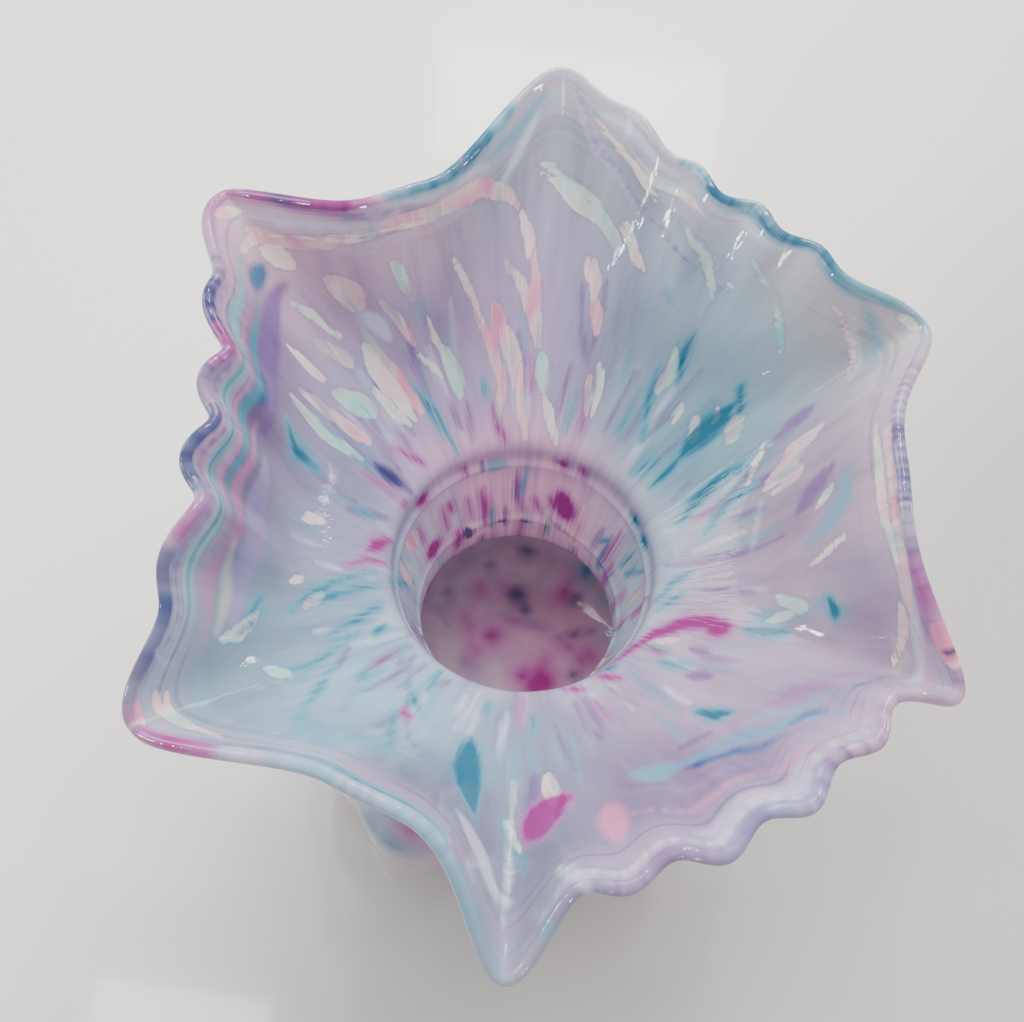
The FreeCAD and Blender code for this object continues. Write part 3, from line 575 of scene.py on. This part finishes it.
@dataclass(frozen=True)
class Painter:
    """Works out how strongly each kind of colour covers the inside face of the wall.

    A cover is the stroke's half width less the distance to its path, in millimetres, so it is
    positive in the stroke and falls evenly outside it.
    """

    place: Array
    azimuth: Array
    canvas: Array
    far: float = -4.0

    def on_canvas(self, azimuth: Array, place: Array) -> Array:
        """Points of the canvas at the given azimuths and places, blended from the nearest rows."""
        row = np.interp(place, self.place, np.arange(len(self.place)))
        low = np.minimum(row.astype(int), len(self.place) - 2)
        share = (row - low)[:, None]
        column = azimuth % 360 / 360 * len(self.azimuth)
        left = column.astype(int) % len(self.azimuth)
        right, part = (left + 1) % len(self.azimuth), (column % 1)[:, None]
        lower = self.canvas[low, left] * (1 - part) + self.canvas[low, right] * part
        upper = self.canvas[low + 1, left] * (1 - part) + self.canvas[low + 1, right] * part
        return lower * (1 - share) + upper * share

    def scattered(self) -> list[tuple]:
        """Extra small chips and fine streaks, spread by a seeded generator."""
        rng = np.random.default_rng(11)
        extra = []
        for count, kinds, low, high, length, width in (
            (90, (T, M, C, M, A, V), -0.98, -0.36, 0.05, 7.0),
            (70, (T, M, V, R, A, M), -0.32, -0.02, 0.10, 1.7),
            (90, (A, V, P, A, P, V), 0.02, 0.55, 0.24, 1.1),
            (26, (T, V, M, T), 0.02, 0.30, 0.12, 1.0),
        ):
            for number in range(count):
                azimuth, start = rng.uniform(0, 360), rng.uniform(low, high - length)
                end = start + length * rng.uniform(0.5, 1.2)
                wide = width * rng.uniform(0.4, 1.1)
                extra.append((kinds[number % len(kinds)], wide, (azimuth, start),
                              (azimuth + rng.uniform(-2, 2), end)))
        return extra

    def stroke(self, width: float, path: list) -> tuple[Array, Array]:
        """Find what one stroke covers.

        Args:
            width: its greatest width in millimetres.
            path: azimuth and place of its points, in pairs or all in one row.

        Returns:
            Mask of the canvas near the stroke, and the cover there.
        """
        marks = np.reshape(np.array(path, float), (-1, 2))
        turns, places = np.unwrap(np.radians(marks[:, 0])), marks[:, 1]
        knots = np.linspace(0, 1, len(marks))
        share = np.linspace(0, 1, 28)
        line = self.on_canvas(np.degrees(np.interp(share, knots, turns)), np.interp(share, knots, places))
        reach = width / 2 - self.far
        near = np.all((self.canvas > line.min(0) - reach) & (self.canvas < line.max(0) + reach), axis=-1)
        points = self.canvas[near]
        apart = np.linalg.norm(points[:, None, :] - line[None], axis=-1)
        swell = np.sin(np.pi * (0.05 + 0.91 * share)) ** 0.8
        return near, (width / 2 * swell[None] - apart).max(axis=1)

    def covers(self) -> dict[Kind, Array]:
        """Lay every stroke and return the cover of each kind over the canvas."""
        shape = (len(self.place), len(self.azimuth))
        covers = {kind: np.full(shape, self.far) for kind in Kind}
        laid = [(kind, *row) for kind, rows in LAID.items() for row in rows]
        for kind, width, *path in (*laid, *self.scattered()):
            near, cover = self.stroke(width, path)
            covers[kind][near] = np.maximum(covers[kind][near], cover)
        soften = np.interp(self.place, [-1.4, -0.45, -0.30, 1.0], [0.30, 0.30, 1.0, 1.0])[:, None]
        return {kind: cover * soften for kind, cover in covers.items()}

    def tone(self) -> Array:
        """Colour of the milky glass: the zones' colours, blended by bell-shaped weights, with the soft bands
        over them, one a painted highlight.
        """
        total, colour = 1e-6, np.zeros((len(self.place), len(self.azimuth), 3))
        for azimuth, place, turn_spread, place_spread, display in ZONES:
            turned = (self.azimuth[None, :] - azimuth + 180) % 360 - 180
            weight = np.exp(-((turned / turn_spread) ** 2) - ((self.place[:,
                None] - place) / place_spread) ** 2)
            total = total + weight
            colour += weight[..., None] * np.array(to_linear(display))
        colour /= total[..., None]
        for display, width, *path in BANDS:
            near, cover = self.stroke(width, path)
            share = 0.92 * np.clip(cover / 1.6 + 0.6, 0, 1)[:, None]
            colour[near] += (np.array(to_linear(display)) - colour[near]) * share
        return colour


@dataclass
class CasedWall:
    """The whole cased wall as one closed skin: inside face, rolled lip, outside face and floor."""

    form: WallForm
    columns: int = 500
    name: str = "cased_wall"
    nodes: list[str] = field(default_factory=list)

    def build(self) -> bpy.types.Object:
        """Work out the skin and its colour fields, and make the piece."""
        form = self.form
        azimuth = np.arange(self.columns) * 360.0 / self.columns
        body_in, neck_in = np.linspace(-1, -0.28, 20), np.linspace(-0.27, -0.006, 42)
        inside_place = np.concatenate([body_in, neck_in, np.linspace(0, 1, 80)])
        lower_out, bell_out = np.linspace(0, -1, 18)[1:], np.linspace(1, 0, 24)
        outside_place = np.concatenate([bell_out, lower_out])
        inside = self.collared(form.face(inside_place, azimuth, 0.0))
        inside = self.relaxed(self.soften_throat(inside, inside_place), inside_place)
        outside = self.soften_throat(form.face(outside_place, azimuth, 1.0), outside_place)
        lip = self.rolled_lip(azimuth)
        floor_share = np.linspace(0.03, 1, 8)[:-1]
        floor = self.flat(inside[0], floor_share)
        under = self.flat(outside[-1], np.array([0.5, 0.03]))
        grid = np.concatenate([floor, inside, lip, outside, under])
        canvas_place = np.concatenate([-1 - 0.35 * (1 - floor_share), inside_place])
        painter = Painter(canvas_place, azimuth, np.concatenate([floor, inside]))
        place = np.concatenate([canvas_place, np.ones(len(lip)), outside_place, np.full(len(under), -1.0)])
        fields = self.colour_fields(painter, place, azimuth)
        LOG.info("cased wall: %d rows of %d", len(grid), self.columns)
        return closed_mesh(self.name, grid, fields, self.nodes)

    def collared(self, grid: Array) -> Array:
        """Stand two low rounded collars on the inside of the neck.

        Formula: the radius shrinks by a bell curve of the height about each collar.
        """
        height = grid[..., 2]
        shrink = 0.9 * np.exp(-(((height - 119.0) / 0.9) ** 2)) + 0.6 * np.exp(-(((height - 96.0) / 0.9) ** 2))
        radius = np.hypot(grid[..., 0], grid[..., 1])
        scale = np.where(height < self.form.throat_height, 1 - shrink / radius, 1.0)
        return grid * np.stack([scale, scale, np.ones_like(scale)], axis=-1)

    def soften_throat(self, grid: Array, place: Array) -> Array:
        """Round the corner at the throat: near it each row moves to the mean of its neighbours."""
        near = np.clip(1.4 - np.abs(place) / 0.03, 0, 1)[:, None, None]
        for _ in range(3):
            mean = grid.copy()
            mean[1:-1] = (grid[:-2] + 2 * grid[1:-1] + grid[2:]) / 4
            grid = grid + (mean - grid) * near
        return grid

    def relaxed(self, grid: Array, place: Array) -> Array:
        """Ease the bell's corners sideways: below the lip each column moves to its neighbours' mean."""
        ease = (np.clip(place / 0.15, 0, 1) * np.clip((0.97 - place) / 0.25, 0, 1))[:, None, None]
        for _ in range(16):
            mean = (np.roll(grid, 1, axis=1) + 2 * grid + np.roll(grid, -1, axis=1)) / 4
            grid = grid + (mean - grid) * ease
        return grid

    def rolled_lip(self, azimuth: Array) -> Array:
        """The lip's rounded edge: a half circle across the wall, rising along the wall's own line.

        Args:
            azimuth: azimuths in degrees.

        Returns:
            Grid of points, one row for each step across the wall.
        """
        form = self.form
        top = np.array([1.0])
        inner, outer = form.face(top, azimuth, 0.0)[0], form.face(top, azimuth, 1.0)[0]
        upward = form.middle(top, azimuth)[0] - form.middle(np.array([0.97]), azimuth)[0]
        upward /= np.linalg.norm(upward, axis=-1, keepdims=True)
        turn = np.linspace(0, np.pi, 9)[1:-1]
        across = (1 - np.cos(turn)) / 2
        rows = [
            inner + (outer - inner) * share + upward * (math.sin(angle) * form.lip_wall / 2)
            for share, angle in zip(across, turn)
        ]
        return np.stack(rows)

    def flat(self, ring: Array, share: Array) -> Array:
        """Rows of a level disc inside a ring of points, at shares of its radius."""
        rows = ring[None] * np.array([1.0, 1.0, 0.0]) * share[:, None, None]
        rows[..., 2] = ring[0, 2]
        return rows

    def colour_fields(self, painter: Painter, place: Array, azimuth: Array) -> dict[str, Array]:
        """Point fields that the cased glass material reads.

        Args:
            painter: painter of the inside face.
            place: place of each row of the skin.
            azimuth: azimuth of each column.

        Returns:
            Fields by name, each the size of the skin's grid.
        """
        row = np.interp(place, painter.place, np.arange(len(painter.place)))
        low = np.minimum(row.astype(int), len(painter.place) - 2)
        share = (row - low)[:, None]

        def spread(values: Array) -> Array:
            """Carry values of the inside face through the wall to every row of the skin."""
            part = share if values.ndim == 2 else share[..., None]
            return values[low] * (1 - part) + values[low + 1] * part

        covers = painter.covers()
        fields = {"tone": spread(painter.tone())}
        for name in ("frit_one", "frit_and_highlight_two", "frit_and_highlight_three"):
            kinds = sorted((kind for kind in Kind if kind.value[0] == name), key=lambda kind: kind.value[1])
            fields[name] = np.stack([spread(covers[kind]) for kind in kinds], axis=-1)
        turn = np.radians(azimuth)[None, :]
        places = np.repeat(place[:, None], len(azimuth), axis=1)
        reach = np.minimum(1, 1 + (places + 1).clip(max=0) * 2.6) * np.interp(places, [-0.6, -0.36],
            [0.3, 1.0])
        places = np.where(places < -0.36, 4 * places + 1.08, places)
        fields["flow"] = np.stack([np.cos(turn) * reach, np.sin(turn) * reach, places], axis=-1)
        return fields


@dataclass
class BasePad:
    """The pressed pad under the vase: a turned profile with a rounded edge and a ground hollow."""

    radius: float
    thickness: float
    edge: float = 2.2
    hollow_radius: float = 13.0
    hollow_depth: float = 1.5
    columns: int = 192

    def build(self) -> bpy.types.Object:
        """Turn the profile round the axis and make the piece."""
        bend = np.linspace(0, np.pi / 2, 9)
        lower = np.stack([self.radius - self.edge * (1 - np.sin(bend)), self.edge * (1 - np.cos(bend))], -1)
        upper = lower[::-1] * [1, -1] + [0, self.thickness]
        hollow = [
            (0.3, self.hollow_depth),
            (self.hollow_radius - 0.5, self.hollow_depth),
            (self.hollow_radius - 0.05, self.hollow_depth - 0.4),
            (self.hollow_radius, 0.25),
            (self.hollow_radius + 0.25, 0.0),
            (self.radius * 0.75, 0.0),
        ]
        profile = np.concatenate([hollow, lower, upper,
                                  [(self.radius * 0.6, self.thickness), (0.3, self.thickness)]])
        turn = np.arange(self.columns) * 2 * np.pi / self.columns
        grid = np.stack([
            profile[:, :1] * np.cos(turn), profile[:, :1] * np.sin(turn), profile[:, 1:] + 0 * turn[None],
        ], axis=-1)
        return closed_mesh("base_pad_glass", grid, {}, ["base_pad"])


# ---------------------------------------------------------------- finishes


class Bench:
    """A short way to lay out a material's nodes."""

    def __init__(self, name: str) -> None:
        """Start a material with one Principled shader."""
        self.material = bpy.data.materials.new(name)
        self.material.use_nodes = True
        self.tree = self.material.node_tree
        self.shader = self.tree.nodes["Principled BSDF"]

    def add(self, kind: str, inputs: dict | None = None, **settings: object) -> bpy.types.Node:
        """Add a node.

        Args:
            kind: node type without its ShaderNode prefix.
            inputs: values or output sockets for its inputs, by name or number.
            settings: node properties.

        Returns:
            The node.
        """
        node = self.tree.nodes.new("ShaderNode" + kind)
        for key, value in settings.items():
            setattr(node, key, value)
        for key, value in (inputs or {}).items():
            if isinstance(value, bpy.types.NodeSocket):
                self.tree.links.new(value, node.inputs[key])
            else:
                node.inputs[key].default_value = value
        return node

    def vector(self, name: str) -> bpy.types.NodeSocket:
        """Read a vector attribute of the piece."""
        return self.add("Attribute", attribute_name=name).outputs["Vector"]

    def math(self, operation: str, *values: object) -> bpy.types.NodeSocket:
        """Combine numbers with a Math node."""
        return self.add("Math", dict(enumerate(values)), operation=operation).outputs[0]

    def noise(self, vector: object, scale: tuple, detail: float = 3.0,
              seed: float = 0.0) -> bpy.types.NodeSocket:
        """Noise over a stretched vector.

        Args:
            vector: socket with the coordinates.
            scale: stretch along each axis.
            detail: octaves.
            seed: shift of the pattern.

        Returns:
            The noise as a number about 0.5.
        """
        placed = self.add("Mapping", {"Vector": vector, "Location": (seed, seed, seed), "Scale": scale})
        found = self.add("TexNoise", {"Vector": placed.outputs[0], "Scale": 1.0, "Detail": detail})
        return found.outputs["Fac"]

    def step(self, value: object, low: float, high: float) -> bpy.types.NodeSocket:
        """Rise smoothly from 0 at low to 1 at high."""
        settings = {"Value": value, "From Min": low, "From Max": high}
        return self.add("MapRange", settings, interpolation_type="SMOOTHSTEP").outputs[0]

    def ramp(self, value: object, stops: list[tuple[float, tuple]]) -> bpy.types.NodeSocket:
        """Colour from a number through colour stops."""
        node = self.add("ValToRGB", {"Fac": value})
        bar = node.color_ramp
        while len(bar.elements) < len(stops):
            bar.elements.new(0.5)
        for element, (place, colour) in zip(bar.elements, stops):
            element.position = place
            element.color = (*colour, 1.0)
        return node.outputs["Color"]

    def mix(self, share: object, first: object, second: object) -> bpy.types.NodeSocket:
        """Mix two colours."""
        node = self.add("Mix", {0: share}, data_type="RGBA")
        for number, value in ((6, first), (7, second)):
            if isinstance(value, bpy.types.NodeSocket):
                self.tree.links.new(value, node.inputs[number])
            else:
                node.inputs[number].default_value = (*value, 1.0)
        return node.outputs[2]

    def product(self, first: bpy.types.NodeSocket, second: bpy.types.NodeSocket) -> bpy.types.NodeSocket:
        """Multiply two colours."""
        return self.add("VectorMath", {0: first, 1: second}, operation="MULTIPLY").outputs[0]

    def set(self, **values: object) -> None:
        """Set the shader's sockets, names written with underscores for spaces."""
        for key, value in values.items():
            socket = self.shader.inputs[key.replace("_", " ")]
            if isinstance(value, bpy.types.NodeSocket):
                self.tree.links.new(value, socket)
            else:
                socket.default_value = value


@dataclass(frozen=True)
class Lay:
    """How one kind of colour shows: display colour, cover where it starts and is whole, and strength."""

    kind: Kind
    display: tuple
    start: float
    whole: float
    strength: float = 1.0
    ragged: float = 1.2
    # Outlined kinds get painted shade round their torn edges, a painted lustre sheen and painted glint
    # streaks.
    outlined: bool = False


LAYERS: tuple[Lay, ...] = (
    # Pale streaks and painted highlights, in one near-white colour.
    Lay(Kind.PALE, (208, 212, 230), -1.2, 0.9, 0.75),
    Lay(Kind.AQUA, (106, 160, 182), -1.6, 1.6, 0.80),
    Lay(Kind.VIOLET, (120, 86, 146), -1.3, 0.9, 0.78),
    Lay(Kind.TEAL, (84, 158, 178), -1.8, 0.4, 0.78, 2.0),
    Lay(Kind.MAGENTA, (178, 104, 166), -2.2, 0.4, 0.70, 2.0),
    # The rose, cream and mint tears: painted edge shade, painted lustre sheen and painted glints; the cream
    # also holds painted highlights at the points.
    Lay(Kind.ROSE, (212, 124, 158), -0.80, -0.15, 0.90, 1.2, True),
    Lay(Kind.CREAM, (232, 208, 204), -0.55, -0.05, 0.85, 1.1, True),
    Lay(Kind.MINT, (84, 194, 186), -0.80, -0.15, 0.88, 1.2, True),
    Lay(Kind.COBALT, (36, 48, 102), -0.9, 0.9, 0.90),
    Lay(Kind.TEAL, (10, 100, 126), -0.3, 1.3, 0.92),
    Lay(Kind.MAGENTA, (146, 24, 116), -0.5, 1.4, 0.92),
)


@dataclass(frozen=True)
class CasedGlass:
    """Milky torn opal under clear lustred glass, with the drawn-out chips, and with painted highlights,
    painted glints, a painted lustre sheen and painted edge shade in its colour.
    """

    def make(self) -> bpy.types.Material:
        """Lay out the material."""
        bench = Bench("cased_opal_glass")
        flow = bench.vector("flow")
        place = bench.add("SeparateXYZ", {0: flow}).outputs[2]
        broad = bench.noise(flow, (6, 6, 2.0), 3)
        fine = bench.noise(flow, (26, 26, 4.0), 4, 3.0)
        streaks = bench.math("ADD", bench.math("MULTIPLY", broad, 0.7), bench.math("MULTIPLY", fine, 0.3))
        veil = bench.ramp(streaks, [
            (0.34, (0.68, 0.69, 0.79)), (0.46, (0.92, 0.93, 0.96)), (0.55, (1.02, 1.03, 1.02)),
            (0.68, (1.20, 1.22, 1.16)),
        ])
        colour = bench.product(bench.vector("tone"), veil)
        across, along = bench.noise(flow, (46, 46, 7.0), 4, 5.0), bench.noise(flow, (7, 7, 60.0), 4, 5.5)
        blend = bench.add("Mix", {0: bench.step(place, 0.55, 0.78), 2: across, 3: along}, data_type="FLOAT")
        feather = bench.math("SUBTRACT", blend.outputs[0], 0.5)
        feather = bench.math("MULTIPLY", feather, bench.step(place, -1.2, -0.3))
        lines = bench.ramp(bench.noise(flow, (1.6, 1.6, 36), 3, 13.0), [
            (0.36, to_linear((132, 112, 158))), (0.45, to_linear((206, 201, 220))),
            (0.52, to_linear((224, 186, 204))),
            (0.60, to_linear((196, 204, 224))), (0.68, to_linear((150, 176, 204))),
        ])
        near_lip = bench.math("MULTIPLY", bench.step(place, 0.78, 0.98), 0.35)
        colour = bench.mix(near_lip, colour, lines)
        # A painted iridescent lustre sheen, pink through cream to mint, for the tears.
        painted_lustre_sheen = bench.ramp(bench.noise(flow, (11, 11, 4.0), 2, 17.0), [
            (0.36, to_linear((232, 140, 176))), (0.46, to_linear((244, 206, 206))),
            (0.53, to_linear((240, 236, 224))),
            (0.62, to_linear((150, 222, 208))), (0.70, to_linear((124, 190, 204))),
        ])
        # Fine bright streaks painted in the tears as glints.
        painted_glint_streaks = bench.step(bench.noise(flow, (70, 70, 5.0), 2, 21.0), 0.56, 0.66)
        covers = {}
        for name in ("frit_one", "frit_and_highlight_two", "frit_and_highlight_three"):
            split = bench.add("SeparateXYZ", {0: bench.vector(name)})
            covers[name] = split.outputs
        for lay in LAYERS:
            name, channel = lay.kind.value
            rough = bench.math("MULTIPLY_ADD", feather, lay.ragged * 2.4, covers[name][channel])
            # A thin dark purple-grey line painted round each tear's torn edge as its shade.
            if lay.outlined:
                line = bench.math("SUBTRACT", bench.step(rough, lay.start - 0.5, lay.start),
                                  bench.step(rough, lay.start, lay.whole))
                colour = bench.mix(bench.math("MULTIPLY", line, 0.15), colour, to_linear((104, 90, 122)))
            share = bench.math("MULTIPLY", bench.step(rough, lay.start, lay.whole), lay.strength)
            paint = to_linear(lay.display)
            # Half the tear's colour is the painted lustre sheen, and the painted glint streaks pull it toward
            # near white.
            if lay.outlined:
                paint = bench.mix(bench.math("MULTIPLY", painted_glint_streaks, 0.35), bench.mix(0.5, paint, painted_lustre_sheen),
                                  (0.95, 0.93, 0.92))
            colour = bench.mix(share, colour, paint)
        ripple = bench.noise(flow, (30, 30, 9.0), 3, 9.0)
        bump = bench.add("Bump", {"Strength": 0.35, "Distance": 0.0006, "Height": ripple})
        bench.set(Base_Color=colour, Roughness=0.28, IOR=1.5, Coat_Weight=1.0, Coat_Roughness=0.03)
        bench.set(Specular_IOR_Level=0.0, Subsurface_Weight=0.25, Subsurface_Scale=0.002,
                  Coat_Normal=bump.outputs[0])
        return bench.material


@dataclass(frozen=True)
class ClearBase:
    """Clear, faintly lilac pressed glass of the pad."""

    def make(self) -> bpy.types.Material:
        """Lay out the material."""
        bench = Bench("clear_pad_glass")
        place = bench.add("TexCoord").outputs["Object"]
        cloud = bench.noise(place, (60, 60, 60), 3)
        colour = bench.ramp(cloud, [(0.3, (0.70, 0.68, 0.80)), (0.7, (0.88, 0.88, 0.94))])
        bench.set(Base_Color=colour, Roughness=0.06, IOR=1.5, Transmission_Weight=0.6)
        return bench.material


# ---------------------------------------------------------------- studio


@dataclass(frozen=True)
class Studio:
    """Pale glossy table, soft lights and the camera above the bell."""

    throat_height: float
    distance: float = 267.2
    elevation: float = 66.0
    yaw: float = -2.043
    pitch: float = 63.394
    roll: float = 5.0
    lens: float = 38.67

    def table(self) -> None:
        """The pale table top, a wide level sheet, its colour a painted light falloff: lighter towards the back
        left, darker towards the front right.
        """
        mesh = bpy.data.meshes.new("table_top")
        half = 2.5
        mesh.from_pydata([(-half, -half, 0), (half, -half, 0), (half, half, 0), (-half, half, 0)], [],
                         [(0, 1, 2, 3)])
        table = bpy.data.objects.new("table_top", mesh)
        bpy.context.scene.collection.objects.link(table)
        bench = Bench("glazed_table")
        place = bench.add("TexCoord").outputs["Object"]
        # Painted light falloff: the colour darkens from the back left, where the left window lamp is, to the
        # front right, with faint noise.
        way = bench.add("VectorMath", {0: place, 1: (1.2, -1.0, 0.0)},
                        operation="DOT_PRODUCT").outputs["Value"]
        cloud = bench.math("MULTIPLY_ADD", bench.noise(place, (3, 3, 3), 2), 0.3,
                           bench.step(way, -0.38, 0.26))
        colour = bench.ramp(cloud, [(0.10, (0.97, 0.955, 0.905)), (0.60, (0.87, 0.85, 0.805)),
                                    (1.0, (0.56, 0.535, 0.505))])
        bench.set(Base_Color=colour, Roughness=0.20, Coat_Weight=0.8, Coat_Roughness=0.06, Coat_IOR=1.6)
        mesh.materials.append(bench.material)

    def lamp(self, name: str, place: tuple, target: tuple, width: float, depth: float, power: float,
             colour: tuple = (1, 1, 1)) -> bpy.types.Object:
        """Add an area lamp.

        Args:
            name: lamp name.
            place: where it hangs, in metres.
            target: the point that it faces.
            width: its width in metres.
            depth: its depth in metres.
            power: its power in watts.
            colour: its colour.

        Returns:
            The lamp.
        """
        data = bpy.data.lights.new(name, "AREA")
        data.shape = "RECTANGLE"
        data.size, data.size_y = width, depth
        data.energy = power
        data.color = colour
        lamp = bpy.data.objects.new(name, data)
        way = np.array(place, float) - np.array(target, float)
        way /= np.linalg.norm(way)
        across = np.cross([0.0, 1.0, 0.01], way)
        across /= np.linalg.norm(across)
        up = np.cross(way, across)
        frame_axes = np.eye(4)
        frame_axes[:3, 0], frame_axes[:3, 1], frame_axes[:3, 2], frame_axes[:3, 3] = across, up, way, place
        lamp.matrix_world = Matrix(frame_axes.tolist())
        bpy.context.scene.collection.objects.link(lamp)
        return lamp

    def lights(self) -> None:
        """Soft overhead panels, small bright ones for the glints, and a pale surround."""
        ceiling = self.lamp("ceiling_panel", (0.2, 0.3, 1.6), (0, 0, 0.1), 1.6, 1.0, 26.0)
        self.lamp("window_left", (-1.4, 0.5, 0.6), (0, 0, 0.12), 0.7, 0.7, 9.0, (0.95, 0.97, 1.0))
        self.lamp("window_back", (0.1, 1.9, 0.7), (0, 0, 0.12), 0.9, 0.5, 10.0)
        self.lamp("pane_back", (0.0, 1.16, 0.82), (0.0, 0.286, 0), 0.42, 0.16, 1.5)
        self.lamp("pane_front", (-0.36, -0.12, 1.17), (-0.087, -0.102, 0), 0.22, 0.10, 0.6)
        for number, (place, width, depth) in enumerate((
            ((0.02, 0.60, 1.07), 0.20, 0.03),
            ((-0.22, 0.42, 1.10), 0.06, 0.06),
            ((0.22, 0.72, 1.00), 0.14, 0.03),
            ((-0.18, 0.78, 0.96), 0.06, 0.06),
            ((1.30, 0.50, 0.45), 0.12, 0.12),
            ((-1.20, -0.30, 0.42), 0.10, 0.10),
            ((0.10, -1.30, 0.40), 0.12, 0.12),
        )):
            self.lamp(f"glint_{number}", place, (0, 0, 0.12), width, depth, 2.4)
        inner = self.lamp("light_through_the_body", (0, 0, 0.05), (0, 0, 0), 0.05, 0.05, 0.015,
                          (1.0, 0.96, 0.94))
        neck = self.lamp("light_through_the_neck", (0, 0, 0.124), (0, 0, 0), 0.04, 0.04, 0.005,
                         (1.0, 0.95, 0.97))
        for hidden in (ceiling, inner, neck):
            hidden.visible_camera = hidden.visible_glossy = False
        world = bpy.data.worlds.new("room")
        world.use_nodes = True
        world.node_tree.nodes["Background"].inputs[0].default_value = (0.88, 0.88, 0.89, 1)
        world.node_tree.nodes["Background"].inputs[1].default_value = 0.62
        bpy.context.scene.world = world

    def camera(self) -> None:
        """Camera above and in front of the bell, looking down into the throat."""
        lift, turn, roll = map(math.radians, (self.pitch, self.yaw, self.roll))
        forward = np.array([math.sin(turn) * math.cos(lift), math.cos(turn) * math.cos(lift),
                            -math.sin(lift)])
        level = np.array([math.cos(turn), -math.sin(turn), 0.0])
        upright = np.cross(level, forward)
        right = math.cos(roll) * level + math.sin(roll) * upright
        above = -math.sin(roll) * level + math.cos(roll) * upright
        rise = math.radians(self.elevation)
        place = np.array([0, -math.cos(rise) * self.distance,
                          self.throat_height + math.sin(rise) * self.distance])
        axes = np.eye(4)
        axes[:3, 0], axes[:3, 1], axes[:3, 2], axes[:3, 3] = right, above, -forward, place * MM
        data = bpy.data.cameras.new("camera")
        data.lens = self.lens
        data.sensor_width = 36.0
        data.clip_start = 0.01
        camera = bpy.data.objects.new("camera", data)
        camera.matrix_world = Matrix(axes.tolist())
        bpy.context.scene.collection.objects.link(camera)
        bpy.context.scene.camera = camera

    def build(self) -> None:
        """Set up table, lights and camera."""
        self.table()
        self.lights()
        self.camera()


def dress(piece: bpy.types.Object, material: bpy.types.Material) -> None:
    """Give a piece its material and report it."""
    piece.data.materials.append(material)
    LOG.info("%s: %d faces, %s", piece.name, len(piece.data.polygons), material.name)


def main() -> None:
    """Build every piece in order."""
    logging.basicConfig(level=logging.INFO, format="%(message)s")
    pad_low, pad_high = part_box("base_pad")
    form = WallForm(pad_thickness=pad_high[2] / MM)
    pad = BasePad(radius=pad_high[0] / MM, thickness=form.pad_thickness)
    dress(pad.build(), ClearBase().make())
    wall_nodes = [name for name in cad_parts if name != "base_pad"]
    wall = CasedWall(form, nodes=wall_nodes)
    dress(wall.build(), CasedGlass().make())
    Studio(form.throat_height).build()


if __name__ == "__main__":
    main()
